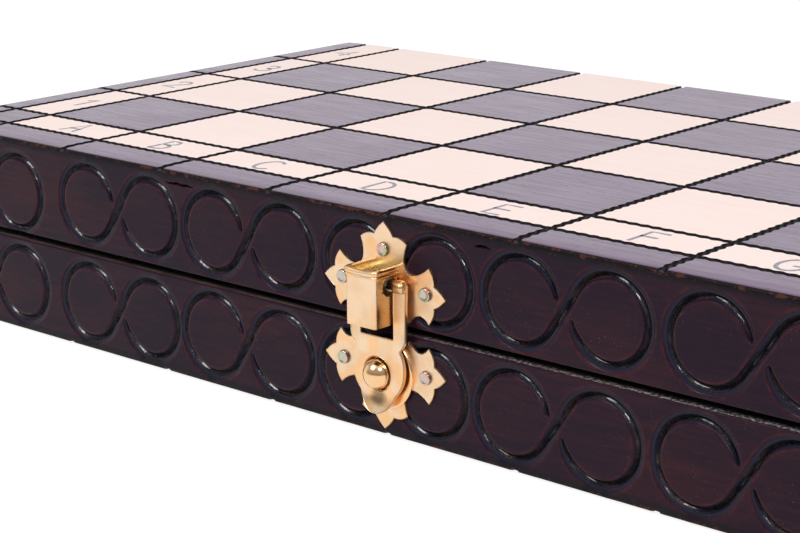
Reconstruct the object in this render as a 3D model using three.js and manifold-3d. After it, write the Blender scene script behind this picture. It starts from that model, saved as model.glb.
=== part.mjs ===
// Folding chess set. Two shallow wooden trays are hinged at the fold, and their outer faces make
// the board. A brass trefoil clasp holds them shut over a ball stud, and each tray carries a
// fitted insert with one side's sixteen turned chessmen lying in it.
// Millimetres, +X along the ranks, +Y towards the hinges, +Z up, resting on the lower playing face.
import * as THREE from 'three';
import { mergeVertices } from 'three/addons/utils/BufferGeometryUtils.js';
import Module from 'manifold-3d';

// Board
const square = 38;
const filesAcross = 8;
const ranksPerHalf = 4;
const labelStrip = 15;
const frameStrip = 12.5;
const halfHeight = 26;
const rimGap = 2;
const panelThickness = 5;
const foldWall = 12.5;
const tongueLength = 4;
const tongueThickness = 2;
const glueGap = 0.1;
const grooveWidth = 2.2;
const grooveDepth = 1.1;
const arrisWidth = 1.6;
const arrisDrop = 0.7;

// Hinges
const hingeSpread = 230;
const hingeLength = 34;
const leafWidth = 11;
const leafThickness = 0.8;
const knuckleRadius = 2.2;
const hingePinRadius = 1;
const hingePinClearance = 0.1;
const knuckleGap = 0.3;
const pinHeadRadius = 1.7;
const pinHeadLength = 0.6;
const foldGap = 0.6;
const leafScrewRadius = 1.3;

// Clasp, heights from the parting plane
const plateThickness = 0.5;
const bossRadius = 9;
const bossHeight = 1.2;
const studHeight = 10.9;
const ballRadius = 3.75;
const haspStandoff = 2.2;
const haspThickness = 0.8;
const haspArmWidth = 3.4;
const haspWaist = { across: 6.8, drop: 4.5 };
const haspBelly = [{ across: 8.3, drop: 8 }, { across: 8.1, drop: 12.6 }];
const haspHip = { across: 5.6, drop: 15.3 };
const haspThumb = { across: 4.2, drop: 20.8 };
const haspTipDrop = 9.3;
const haspCurl = 0.8;
const haspWindowFoot = 1.8;
const ballHoleClearance = 0.45;
const pivotHeight = 11;
const pivotRadius = 1.5;
const pivotClearance = 0.3;
const hoodWidth = 9.5;
const hoodReach = 8.3;
const hoodFoot = 1.8;
const hoodTop = 15.6;
const hoodSheet = 0.6;
const hoodBend = 1.2;
const hoodSideGap = 0.3;
const hoodBlankMargin = 0.4;
const nailHeadRadius = 1.5;
const nailHeadHeight = 1;
const nailShankRadius = 0.7;
const nailLength = 7;
const nailClearance = 0.05;
const sideNail = { across: 12.7, height: 9.9 };
const topNailHeight = 18.5;
const studShankRadius = 1.2;

// Leaf-shaped clasp plates. A lobe has two shoulders, a pointed tip and a notch beside the tip.
const sideLobe = { shoulder: 13.6, notch: 15.2, tip: 18.6, half: 6.65, notchHalf: 2.6, axis: 9.5 };
const topLobe = { shoulder: 20.6, notch: 21.8, tip: 25, half: 7.05, notchHalf: 2.9 };
const shoulderSwell = 1;
const tipSwell = 0.6;
const plateFoot = { across: 7.8, height: 2.2 };
const footBow = { across: 10.9, height: 6.4 };
const neckBow = [{ across: 8.8, height: 11.6 }, { across: 4.2, height: 13.9 }];

// Inserts and chessmen
const insertThickness = 12;
const insertClearance = 0.4;
const pocketClearance = 0.8;
const pocketMargin = 5;
const seatGap = 0.3;
const king = { height: 65, radius: 12.5 };
const queen = { height: 60, radius: 12 };
const bishop = { height: 52, radius: 10.5 };
const knight = { height: 47, radius: 10.5, headThickness: 10, muzzle: 10.5 };
const rook = { height: 42, radius: 10.5 };
const pawn = { height: 36, radius: 9 };
const officerSides = 10;
const pawnSides = 8;

// Derived sizes
const boardLength = filesAcross * square + 2 * (labelStrip + frameStrip);
const boardDepth = ranksPerHalf * square + labelStrip + frameStrip;
const closedHeight = 2 * halfHeight + rimGap;
const parting = closedHeight / 2;
const backFace = -foldGap / 2;
const frontFace = backFace - boardDepth;
const innerHalf = boardLength / 2 - frameStrip;
const innerFront = frontFace + frameStrip;
const innerBack = backFace - foldWall;

const hingeAxisY = (hoodReach - frontFace - knuckleRadius) / 2;
const pivotY = haspStandoff + haspThickness / 2;

const wasm = await Module();
wasm.setup();

// ---- Solids ----

// Shares the vertices of a geometry and drops the triangles that this collapses.
function weld(geometry) {
  const bare = geometry.clone();
  bare.deleteAttribute('normal');
  bare.deleteAttribute('uv');
  const merged = mergeVertices(bare, 1e-4);
  const index = [];
  for (let i = 0; i < merged.index.count; i += 3) {
    const [a, b, c] = [0, 1, 2].map((k) => merged.index.getX(i + k));
    if (a !== b && b !== c && c !== a) index.push(a, b, c);
  }
  merged.setIndex(index);
  return merged;
}

function solidOf(geometry) {
  const welded = weld(geometry);
  return new wasm.Manifold(new wasm.Mesh({
    numProp: 3,
    vertProperties: new Float32Array(welded.attributes.position.array),
    triVerts: new Uint32Array(welded.index.array),
  }));
}

function geometryOf(solid) {
  const { vertProperties, triVerts } = solid.getMesh();
  const geometry = new THREE.BufferGeometry();
  geometry.setAttribute('position', new THREE.BufferAttribute(vertProperties, 3));
  geometry.setIndex(new THREE.BufferAttribute(triVerts, 1));
  geometry.computeVertexNormals();
  return geometry;
}

function join(...geometries) {
  return geometries.map(solidOf).reduce((whole, next) => whole.add(next));
}

// A box between two corners.
function block([x0, y0, z0], [x1, y1, z1]) {
  return new THREE.BoxGeometry(x1 - x0, y1 - y0, z1 - z0)
    .translate((x0 + x1) / 2, (y0 + y1) / 2, (z0 + z1) / 2);
}

// A cylinder between two points on one of the axes 'x', 'y' or 'z'.
function rod(axis, radius, from, to, centre, sides = 12) {
  const geometry = new THREE.CylinderGeometry(radius, radius, to - from, sides);
  if (axis === 'x') geometry.rotateZ(Math.PI / 2);
  if (axis === 'z') geometry.rotateX(Math.PI / 2);
  const middle = new THREE.Vector3(...centre);
  middle[axis] = (from + to) / 2;
  return geometry.translate(middle.x, middle.y, middle.z);
}

// Drops the points that lie on the straight line between their neighbours.
function corners(points) {
  return points.filter(([x, y], i) => {
    const [x0, y0] = points.at(i - 1);
    const [x1, y1] = points[(i + 1) % points.length];
    return Math.abs((x - x0) * (y1 - y) - (y - y0) * (x1 - x)) > 1e-6;
  });
}

function outline(points) {
  return new THREE.Shape(corners(points).map(([x, y]) => new THREE.Vector2(x, y)));
}

// Extrudes an outline drawn in X and Z outwards from the front face, towards -Y.
function frontPlate(shape, thickness, curveSegments = 4) {
  const options = { depth: thickness, bevelEnabled: false, curveSegments };
  return new THREE.ExtrudeGeometry(shape, options).rotateX(Math.PI / 2);
}

// Turns a profile of [radius, height] points about Z; its ends are closed onto the axis.
function turned(profile, segments) {
  const points = [[0, profile[0][1]], ...profile, [0, profile.at(-1)[1]]];
  return new THREE.LatheGeometry(points.map(([r, h]) => new THREE.Vector2(r, h)), segments)
    .rotateX(Math.PI / 2);
}

// ---- Board halves, drawn lying on the playing face with the hinge pin's axis at Y = 0 ----

// V-grooves along every line of the board, sunk upwards into the playing face at Z = 0.
function gridGrooves() {
  const overrun = 5;
  const section = outline([[-grooveWidth, -grooveDepth], [grooveWidth, -grooveDepth], [0, grooveDepth]]);
  const groove = (length) => (
    new THREE.ExtrudeGeometry(section, { depth: length, bevelEnabled: false }).rotateX(Math.PI / 2)
  );
  const fileLines = [-innerHalf, innerHalf];
  for (let file = 0; file <= filesAcross; file += 1) {
    fileLines.push((file - filesAcross / 2) * square);
  }
  const rankLines = [innerFront];
  for (let rank = 0; rank < ranksPerHalf; rank += 1) {
    rankLines.push(innerFront + labelStrip + rank * square);
  }
  return join(
    ...fileLines.map((x) => groove(boardDepth + 2 * overrun).translate(x, backFace + overrun, 0)),
    ...rankLines.map((y) => (
      groove(boardLength + 2 * overrun).rotateZ(Math.PI / 2).translate(-boardLength / 2 - overrun, y, 0)
    )),
  );
}

// Section of the outer rails as [inset from the outer face, height], with the housing for the
// panel's tongue and the worn arris round the board.
function railSection() {
  const tongueMid = panelThickness / 2;
  const housing = tongueThickness / 2 + glueGap;
  const housed = frameStrip - tongueLength - glueGap;
  return [
    [arrisWidth, 0], [frameStrip, 0],
    [frameStrip, tongueMid - housing], [housed, tongueMid - housing],
    [housed, tongueMid + housing], [frameStrip, tongueMid + housing],
    [frameStrip, halfHeight], [0, halfHeight], [0, arrisDrop],
  ];
}

// A rail along +Z whose ends are cut at starts(inset) and ends(inset), so that a mitre is an end
// that moves with the inset.
function rail(startAt, endAt) {
  const geometry = new THREE.ExtrudeGeometry(outline(railSection()), { depth: 1, bevelEnabled: false });
  const position = geometry.attributes.position;
  for (let i = 0; i < position.count; i += 1) {
    const inset = position.getX(i);
    position.setZ(i, position.getZ(i) < 0.5 ? startAt(inset) : endAt(inset));
  }
  return geometry;
}

function frontRail() {
  const mitre = (inset) => boardLength / 2 - inset - glueGap / 2;
  const basis = new THREE.Matrix4().makeBasis(
    new THREE.Vector3(0, 1, 0), new THREE.Vector3(0, 0, 1), new THREE.Vector3(1, 0, 0));
  return solidOf(rail((inset) => -mitre(inset), mitre).applyMatrix4(basis).translate(0, frontFace, 0));
}

// The left rail runs from the fold to the mitre, the right one from the mitre to the fold.
function sideRail(side) {
  const mitre = (inset) => inset + glueGap / 2;
  const basis = new THREE.Matrix4().makeBasis(
    new THREE.Vector3(-side, 0, 0), new THREE.Vector3(0, 0, 1), new THREE.Vector3(0, side, 0));
  const body = side > 0
    ? rail((inset) => mitre(inset), () => boardDepth)
    : rail(() => 0, (inset) => boardDepth - mitre(inset));
  const corner = [side * boardLength / 2, side > 0 ? frontFace : backFace, 0];
  return solidOf(body.applyMatrix4(basis).translate(...corner));
}

// The wall under the fold edge, with a round notch for each hinge's knuckles.
function foldRail() {
  const end = innerHalf - glueGap;
  let wall = solidOf(block([-end, innerBack, panelThickness], [end, backFace, halfHeight]));
  for (const x of [-hingeSpread / 2, hingeSpread / 2]) {
    const half = hingeLength / 2 + pinHeadLength + knuckleGap;
    const notch = rod('x', knuckleRadius + knuckleGap, x - half, x + half, [0, 0, parting], 12);
    wall = wall.subtract(solidOf(notch));
  }
  return wall;
}

// The veneered playing panel, with a tongue on the three sides that the rails hold.
function playingPanel() {
  const edge = innerHalf - glueGap;
  const front = innerFront + glueGap;
  const low = (panelThickness - tongueThickness) / 2;
  return join(
    block([-edge, front, 0], [edge, backFace, panelThickness]),
    block(
      [-edge - tongueLength, front - tongueLength, low],
      [edge + tongueLength, backFace, low + tongueThickness]),
  );
}

// ---- Chessmen, drawn standing on Z = 0 ----

// A turned outline from stations given as [share of the base radius, share of the height].
function turning({ radius, height }, stations) {
  return stations.map(([r, h]) => [r * radius, h * height]);
}

// Stations of the foot that every chessman shares: rim, cove and the start of the stem.
function foot(rim) {
  return [[0.94, 0], [1, rim * 0.25], [1, rim], [0.74, rim * 1.6], [0.54, rim * 2.6]];
}

// Stations of a round stretch centred at a height, from one angle to another from the lower pole.
function round(man, centre, radius, from, to, steps) {
  return Array.from({ length: steps + 1 }, (_, i) => {
    const angle = THREE.MathUtils.lerp(from, to, i / steps);
    return [radius * Math.sin(angle), centre - radius * Math.cos(angle) * man.radius / man.height];
  });
}

const profiles = {
  king: turning(king, [
    ...foot(0.055), [0.38, 0.26], [0.32, 0.48], [0.36, 0.58], [0.6, 0.61], [0.6, 0.635],
    [0.36, 0.66], [0.52, 0.81], [0.56, 0.84], [0.34, 0.88], [0.16, 0.9],
  ]),
  queen: turning(queen, [
    ...foot(0.058), [0.36, 0.27], [0.3, 0.5], [0.34, 0.6], [0.58, 0.63], [0.58, 0.655],
    [0.32, 0.68], [0.44, 0.8], [0.62, 0.9], [0.46, 0.925], [0.2, 0.935], [0.22, 0.97], [0.12, 1],
  ]),
  bishop: turning(bishop, [
    ...foot(0.062), [0.36, 0.3], [0.3, 0.5], [0.34, 0.58], [0.58, 0.61], [0.58, 0.635],
    [0.34, 0.66], [0.52, 0.76], [0.46, 0.86], [0.18, 0.94], [0.2, 0.97], [0.1, 1],
  ]),
  rook: turning(rook, [
    ...foot(0.075), [0.48, 0.34], [0.44, 0.62], [0.52, 0.7], [0.72, 0.745], [0.72, 1], [0.5, 1], [0.5, 0.86],
  ]),
  pawn: turning(pawn, [
    ...foot(0.08), [0.34, 0.4], [0.3, 0.56], [0.56, 0.61], [0.56, 0.64],
    ...round(pawn, 0.83, 0.62, 0.7, Math.PI * 0.92, 4),
  ]),
  knight: turning(knight, [...foot(0.07), [0.5, 0.24], [0.56, 0.27], [0.56, 0.31]]),
};

// A horse's head in side view, facing +X, cut from a plank and thinned towards nose and ears.
function knightHead() {
  const { radius, height, headThickness, muzzle } = knight;
  const base = 0.29;
  const share = ([x, z]) => [x > 0 ? x * muzzle : x * radius, z * height];
  const head = new THREE.Shape();
  head.moveTo(...share([0.5, base]));
  head.quadraticCurveTo(...share([0.8, 0.44]), ...share([0.3, 0.57]));
  head.lineTo(...share([0.5, 0.61]));
  head.lineTo(...share([0.9, 0.63]));
  head.lineTo(...share([1, 0.71]));
  head.lineTo(...share([0.72, 0.79]));
  head.lineTo(...share([0.4, 0.89]));
  head.lineTo(...share([0.3, 1]));
  head.lineTo(...share([0.02, 0.92]));
  head.bezierCurveTo(...share([-0.5, 0.9]), ...share([-0.8, 0.62]), ...share([-0.56, base]));
  const geometry = new THREE.ExtrudeGeometry(head, { depth: 1, bevelEnabled: false, curveSegments: 5 })
    .translate(0, 0, -0.5).rotateX(Math.PI / 2);
  const position = geometry.attributes.position;
  for (let i = 0; i < position.count; i += 1) {
    const forward = Math.max(position.getX(i), 0) / muzzle;
    const up = (position.getZ(i) / height - base) / (1 - base);
    position.setY(i, position.getY(i) * headThickness * (1 - 0.35 * forward) * (1 - 0.4 * up * up));
  }
  return geometry;
}

// Each maker returns one standing chessman.
const makers = {
  king() {
    const { height, radius } = king;
    const arm = radius * 0.27;
    const foot = height * 0.89;
    const crossing = height * 0.955;
    const stroke = radius * 0.09;
    const flare = radius * 0.15;
    const cross = outline([
      [-flare, foot], [flare, foot], [stroke, crossing - stroke], [arm, crossing - flare],
      [arm, crossing + flare], [stroke, crossing + stroke], [flare, height], [-flare, height],
      [-stroke, crossing + stroke], [-arm, crossing + flare], [-arm, crossing - flare],
      [-stroke, crossing - stroke],
    ]);
    const finial = new THREE.ExtrudeGeometry(cross, { depth: 2 * stroke, bevelEnabled: false })
      .translate(0, 0, -stroke).rotateX(Math.PI / 2);
    return join(turned(profiles.king, officerSides), finial);
  },
  queen() {
    const { height, radius } = queen;
    const points = 6;
    let coronet = solidOf(turned(profiles.queen, officerSides));
    for (let i = 0; i < points; i += 1) {
      const scallop = rod('x', radius * 0.13, radius * 0.3, radius * 0.8, [0, 0, height * 0.925], 6);
      coronet = coronet.subtract(solidOf(scallop.rotateZ((i + 0.5) * 2 * Math.PI / points)));
    }
    return coronet;
  },
  bishop() {
    const { height, radius } = bishop;
    const cut = block([0, -radius, -height * 0.012], [radius, radius, height * 0.012])
      .rotateY(-Math.PI / 5).translate(radius * 0.1, 0, height * 0.8);
    return solidOf(turned(profiles.bishop, officerSides)).subtract(solidOf(cut));
  },
  knight() {
    return join(turned(profiles.knight, officerSides), knightHead());
  },
  rook() {
    const { height, radius } = rook;
    const half = radius * 0.14;
    const slot = (turn) => block([-radius, -half, height * 0.9], [radius, half, height * 1.1]).rotateZ(turn);
    return solidOf(turned(profiles.rook, officerSides))
      .subtract(solidOf(slot(0)))
      .subtract(solidOf(slot(Math.PI / 2)));
  },
  pawn() {
    return solidOf(turned(profiles.pawn, pawnSides));
  },
};

const sizes = { king, queen, bishop, knight, rook, pawn };

// How a chessman lies: on the upper edge of its foot and the first ring above that meets the floor.
function lying(kind) {
  const { radius, height, headThickness } = sizes[kind];
  const rings = profiles[kind].filter(([, h]) => h > height * 0.3);
  if (headThickness) rings.push([headThickness * 0.3, height]);
  const rim = profiles[kind].filter(([r]) => r >= radius * 0.999).at(-1);
  const tilt = Math.min(...rings.map(([r, h]) => Math.atan2(rim[0] - r, h - rim[1])));
  const lift = rim[0] * Math.cos(tilt) + rim[1] * Math.sin(tilt);
  return { tilt, lift };
}

// Greatest half width of a chessman's upper part, seen from above as it lies.
function headHalf(kind) {
  const { radius, height, muzzle } = sizes[kind];
  const upper = profiles[kind].filter(([, h]) => h > height * 0.5).map(([r]) => r);
  return muzzle ? Math.max(muzzle, radius * 0.8) : Math.max(...upper);
}

// Places for one side's sixteen men: officers along one long wall, feet outwards, and pawns along
// the other with their feet inwards, so that big feet face small heads when the box is shut.
function layout(officersAtFold) {
  const officers = ['rook', 'knight', 'bishop', 'queen', 'king', 'bishop', 'knight', 'rook'];
  const pawns = officers.map(() => 'pawn');
  const floor = panelThickness + seatGap;
  const front = innerFront + pocketMargin;
  const back = innerBack - pocketMargin;
  const width = 2 * (innerHalf - insertClearance);
  const row = (kinds, y, direction) => {
    const spans = kinds.map((kind) => 2 * (Math.max(sizes[kind].radius, headHalf(kind)) + pocketClearance));
    const gap = (width - spans.reduce((sum, span) => sum + span, 0)) / (kinds.length + 1);
    let x = -width / 2;
    return kinds.map((kind, i) => {
      const { tilt, lift } = lying(kind);
      const centre = x + gap + spans[i] / 2;
      x = centre + spans[i] / 2;
      return { kind, place: i + 1, x: centre, y, direction, tilt, z: floor + lift };
    });
  };
  const heel = king.radius * 0.2;
  return officersAtFold
    ? [...row(officers, back - heel, -1), ...row(pawns, front + pawn.height, -1)]
    : [...row(officers, front + heel, 1), ...row(pawns, back - pawn.height, 1)];
}

// ---- Fitted insert: a thick sheet with a tapered pocket cut through it for every man ----

function pocket({ kind, x, y, direction, tilt }) {
  const { radius, height } = sizes[kind];
  const wide = radius + pocketClearance;
  const narrow = Math.min(headHalf(kind) + pocketClearance, wide);
  const heel = radius * Math.sin(tilt) + pocketClearance;
  const toe = height + pocketClearance;
  const bevel = pocketClearance;
  const edge = [
    [-heel, wide], [height * 0.2, wide], [height * 0.5, narrow], [toe - bevel, narrow], [toe, narrow - bevel],
  ];
  const across = [...edge, ...edge.map(([along, half]) => [along, -half]).reverse()];
  return across.map(([along, half]) => [x + half, y + direction * along]);
}

function insertSheet(men) {
  const half = innerHalf - insertClearance;
  const top = panelThickness + insertThickness;
  const sheet = block(
    [-half, innerFront + insertClearance, panelThickness], [half, innerBack - insertClearance, top]);
  const depth = insertThickness + 2;
  const pockets = men.map((man) => (
    new THREE.ExtrudeGeometry(outline(pocket(man)), { depth, bevelEnabled: false })
      .translate(0, 0, panelThickness - 1)
  ));
  return solidOf(sheet).subtract(join(...pockets));
}

// ---- Hinges, in the frame of the half that carries the leaf ----

// A leaf on the rim with its knuckles round the pin at [0, parting]; spans are the X stretches
// that its own knuckles take.
function hingeLeaf(spans) {
  const half = hingeLength / 2;
  const rim = halfHeight;
  const clear = -knuckleRadius - knuckleGap;
  const inside = -(knuckleRadius + hingePinRadius + hingePinClearance) / 2;
  let leaf = solidOf(block([-half, backFace - leafWidth, rim], [half, clear, rim + leafThickness]));
  for (const [from, to] of spans) {
    leaf = leaf.add(solidOf(block([from, clear - 1, rim], [to, inside, rim + leafThickness])));
    leaf = leaf.add(solidOf(rod('x', knuckleRadius, from, to, [0, 0, parting])));
  }
  const bore = (hingePinRadius + hingePinClearance) / Math.cos(Math.PI / 12);
  leaf = leaf.subtract(solidOf(rod('x', bore, -half - 1, half + 1, [0, 0, parting])));
  const y = backFace - leafWidth * 0.6;
  for (const x of [-half * 0.6, half * 0.6]) {
    const hole = rod('z', leafScrewRadius, rim - 1, rim + leafThickness + 1, [x, y, 0], 8);
    leaf = leaf.subtract(solidOf(hole));
  }
  return leaf;
}

const knuckleSplit = hingeLength / 6;
const outerKnuckles = [
  [-hingeLength / 2, -knuckleSplit - knuckleGap / 2],
  [knuckleSplit + knuckleGap / 2, hingeLength / 2],
];
const middleKnuckle = [[-knuckleSplit + knuckleGap / 2, knuckleSplit - knuckleGap / 2]];

function hingePin() {
  const half = hingeLength / 2 + knuckleGap / 2;
  const pin = solidOf(rod('x', hingePinRadius, -half, half, [0, 0, parting], 12));
  const head = (from, to) => solidOf(rod('x', pinHeadRadius, from, to, [0, 0, parting], 12));
  return pin.add(head(-half - pinHeadLength, -half)).add(head(half, half + pinHeadLength));
}

// ---- Clasp, with X across, Y = 0 on the wood, -Y outwards and Z from the parting plane ----

// A leaf lobe's curves, each a control point and an end given as [along, across]: from one
// shoulder over the notch to the tip, and down to the other shoulder.
function lobe({ shoulder, notch, tip, half, notchHalf }) {
  const outer = [(shoulder + notch) / 2 + shoulderSwell, (half + notchHalf) / 2];
  const inner = [(notch + tip) / 2, notchHalf / 2 + tipSwell];
  const mirrored = ([along, across]) => [along, -across];
  return [
    [outer, [notch, notchHalf]],
    [inner, [tip, 0]],
    [mirrored(inner), [notch, -notchHalf]],
    [mirrored(outer), [shoulder, -half]],
  ];
}

function trefoil() {
  const shape = new THREE.Shape();
  const follow = (curves, place) => {
    curves.forEach(([control, end]) => shape.quadraticCurveTo(...place(control), ...place(end)));
  };
  const { shoulder, half, axis } = sideLobe;
  const [low, high] = neckBow;
  shape.moveTo(-plateFoot.across, plateFoot.height);
  shape.lineTo(plateFoot.across, plateFoot.height);
  shape.quadraticCurveTo(footBow.across, footBow.height, shoulder, axis - half);
  follow(lobe(sideLobe), ([along, across]) => [along, axis - across]);
  shape.bezierCurveTo(low.across, low.height, high.across, high.height, topLobe.half, topLobe.shoulder);
  follow(lobe(topLobe), ([along, across]) => [across, along]);
  shape.bezierCurveTo(-high.across, high.height, -low.across, low.height, -shoulder, axis + half);
  follow(lobe(sideLobe), ([along, across]) => [-along, axis + across]);
  shape.quadraticCurveTo(-footBow.across, footBow.height, -plateFoot.across, plateFoot.height);
  return shape;
}

// Places of the pins that hold a clasp plate, as [name, X, distance from the parting plane, radius].
const sidePins = [
  ['nail_left', -sideNail.across, sideNail.height, nailShankRadius],
  ['nail_right', sideNail.across, sideNail.height, nailShankRadius],
];
const upperPins = [['nail_centre', 0, topNailHeight, nailShankRadius], ...sidePins];
const lowerPins = [...sidePins, ['ball_stud', 0, studHeight, studShankRadius]];

// Bores for those pins through whatever lies between two depths behind the front face.
function pinBores(pins, from, to) {
  return join(...pins.map(([, x, h, radius]) => rod('y', radius + nailClearance, from, to, [x, 0, h], 6)));
}

// The hood is pressed out of the upper plate: a roof with a rolled lip, a front wall and two side
// walls that stop short of the plate and are notched for the hasp's ears.
function hood() {
  const half = hoodWidth / 2;
  const roof = [
    [0, hoodTop], [-hoodReach + hoodBend, hoodTop], [-hoodReach, hoodTop - hoodBend],
    [-hoodReach, hoodFoot], [-hoodReach + hoodSheet, hoodFoot],
    [-hoodReach + hoodSheet, hoodTop - hoodBend], [-hoodReach + hoodBend, hoodTop - hoodSheet],
    [0, hoodTop - hoodSheet],
  ];
  const basis = new THREE.Matrix4().makeBasis(
    new THREE.Vector3(0, 1, 0), new THREE.Vector3(0, 0, 1), new THREE.Vector3(1, 0, 0));
  const sheet = new THREE.ExtrudeGeometry(outline(roof), { depth: hoodWidth, bevelEnabled: false })
    .applyMatrix4(basis).translate(-half, 0, 0);
  const rear = -pivotY + pivotRadius;
  const wall = (x) => block(
    [x, -hoodReach + hoodSheet / 2, hoodFoot + hoodBlankMargin],
    [x + hoodSheet, rear, hoodTop - hoodSheet / 2]);
  const ears = rod('x', pivotRadius + pivotClearance, -half - 1, half + 1, [0, -pivotY, pivotHeight], 16);
  return join(sheet, wall(-half), wall(half - hoodSheet)).subtract(solidOf(ears));
}

function upperPlate() {
  const blank = solidOf(frontPlate(trefoil(), plateThickness));
  return blank.add(hood()).subtract(pinBores(upperPins, -2, 2));
}

function lowerPlate() {
  const boss = rod('y', bossRadius, -bossHeight, -plateThickness / 2, [0, 0, studHeight], 24);
  return join(frontPlate(trefoil(), plateThickness), boss).subtract(pinBores(lowerPins, -2, 2));
}

function hasp() {
  const inner = hoodWidth / 2 + hoodSideGap;
  const outer = inner + haspArmWidth;
  const body = -studHeight;
  const tip = body - haspTipDrop;
  const [high, low] = haspBelly;
  const shape = new THREE.Shape();
  shape.moveTo(inner, pivotHeight);
  shape.lineTo(inner, -haspWindowFoot);
  shape.lineTo(-inner, -haspWindowFoot);
  shape.lineTo(-inner, pivotHeight);
  shape.absarc(-(inner + outer) / 2, pivotHeight, haspArmWidth / 2, 0, Math.PI, false);
  shape.lineTo(-outer, -haspWindowFoot);
  shape.lineTo(-haspWaist.across, -haspWaist.drop);
  shape.bezierCurveTo(-high.across, -high.drop, -low.across, -low.drop, -haspHip.across, -haspHip.drop);
  shape.quadraticCurveTo(-haspThumb.across, -haspThumb.drop, 0, tip);
  shape.quadraticCurveTo(haspThumb.across, -haspThumb.drop, haspHip.across, -haspHip.drop);
  shape.bezierCurveTo(low.across, -low.drop, high.across, -high.drop, haspWaist.across, -haspWaist.drop);
  shape.lineTo(outer, -haspWindowFoot);
  shape.lineTo(outer, pivotHeight);
  shape.absarc((inner + outer) / 2, pivotHeight, haspArmWidth / 2, 0, Math.PI, false);
  const hole = new THREE.Path();
  hole.absarc(0, body, ballRadius + ballHoleClearance, 0, 2 * Math.PI, true);
  shape.holes.push(hole);
  const plate = frontPlate(shape, haspThickness, 8).translate(0, -haspStandoff, 0);
  const position = plate.attributes.position;
  const curlStart = body - ballRadius;
  for (let i = 0; i < position.count; i += 1) {
    const past = Math.max((curlStart - position.getZ(i)) / (curlStart - tip), 0);
    position.setY(i, position.getY(i) - haspCurl * past * past);
  }
  const earEnd = hoodWidth / 2 - 2 * hoodSheet;
  const ear = (from, to) => rod('x', pivotRadius, from, to, [0, -pivotY, pivotHeight], 12);
  return join(plate, ear(earEnd, outer - 1), ear(1 - outer, -earEnd));
}

// A ball that sits in the hasp's plane, cut off by the boss or standing on a neck above it.
function ballStud() {
  const neck = Math.PI / 5;
  const start = Math.max(Math.acos(Math.min((pivotY - bossHeight) / ballRadius, 1)), neck);
  const profile = [[0, bossHeight], [ballRadius * Math.sin(start), bossHeight]];
  const steps = 6;
  for (let i = 0; i <= steps; i += 1) {
    const angle = THREE.MathUtils.lerp(start, Math.PI * 0.93, i / steps);
    profile.push([ballRadius * Math.sin(angle), pivotY - ballRadius * Math.cos(angle)]);
  }
  profile.push([0, pivotY + ballRadius]);
  const ball = new THREE.LatheGeometry(profile.map(([r, h]) => new THREE.Vector2(r, h)), 16).rotateX(Math.PI);
  const shank = rod('y', studShankRadius, -bossHeight - 1, nailLength - nailHeadHeight, [0, 0, 0], 6);
  return join(ball, shank).translate([0, 0, -studHeight]);
}

// ---- Assembly ----

function finish(color, roughness, metalness = 0) {
  return new THREE.MeshStandardMaterial({ color, roughness, metalness });
}

const stainedWood = finish(0x3c2d34, 0.35);
const boardFace = finish(0x8a7478, 0.3);
const felt = finish(0x5b1420, 0.95);
const brass = finish(0xe8c48a, 0.3, 1);
const steel = finish(0xb9b7b0, 0.3, 1);
const tones = { light: finish(0xcfa76a, 0.4), dark: finish(0x4a2618, 0.35) };

// Adds a named piece made from a geometry or from a solid.
function add(parent, name, shape, material) {
  const solid = shape instanceof THREE.BufferGeometry ? solidOf(shape) : shape;
  const mesh = new THREE.Mesh(geometryOf(solid), material);
  mesh.name = name;
  parent.add(mesh);
  return mesh;
}

function addChessmen(parent, tone, men) {
  const counts = {};
  for (const { kind, x, y, z, tilt, direction } of men) {
    counts[kind] = (counts[kind] ?? 0) + 1;
    const single = kind === 'king' || kind === 'queen';
    const name = single ? `${tone}_${kind}` : `${tone}_${kind}_${counts[kind]}`;
    const man = add(parent, name, makers[kind](), tones[tone]);
    man.position.set(x, y, z);
    man.rotation.x = -direction * (Math.PI / 2 + tilt);
  }
}

function boardHalf(name, tone, isUpper) {
  const half = new THREE.Group();
  half.position.set(0, hingeAxisY, isUpper ? closedHeight : 0);
  half.rotation.y = isUpper ? Math.PI : 0;
  const left = isUpper ? 1 : -1;
  const grooves = gridGrooves();
  const grooved = (shape) => shape.subtract(grooves);
  add(half, `${name}_panel`, grooved(playingPanel()), boardFace);
  const bores = pinBores(isUpper ? upperPins : lowerPins, -1, nailLength)
    .rotate([0, 180, 0]).translate([0, frontFace, parting]);
  add(half, `${name}_front_rail`, grooved(frontRail()).subtract(bores), stainedWood);
  add(half, `${name}_left_rail`, grooved(sideRail(left)), stainedWood);
  add(half, `${name}_right_rail`, grooved(sideRail(-left)), stainedWood);
  add(half, `${name}_fold_rail`, foldRail(), stainedWood);
  const men = layout(isUpper);
  add(half, `${name}_insert`, insertSheet(men), felt);
  addChessmen(half, tone, men);
  for (const [side, x] of [['left', left * hingeSpread / 2], ['right', -left * hingeSpread / 2]]) {
    add(half, `${side}_hinge_${name}_leaf`, hingeLeaf(isUpper ? middleKnuckle : outerKnuckles), brass)
      .position.x = x;
    if (!isUpper) add(half, `${side}_hinge_pin`, hingePin(), steel).position.x = x;
  }
  return half;
}

function nail() {
  const seat = -plateThickness;
  return join(
    rod('y', nailHeadRadius, seat - nailHeadHeight, seat, [0, 0, 0], 10),
    rod('y', nailShankRadius, seat - nailHeadHeight / 2, nailLength - nailHeadHeight, [0, 0, 0], 6),
  );
}

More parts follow.
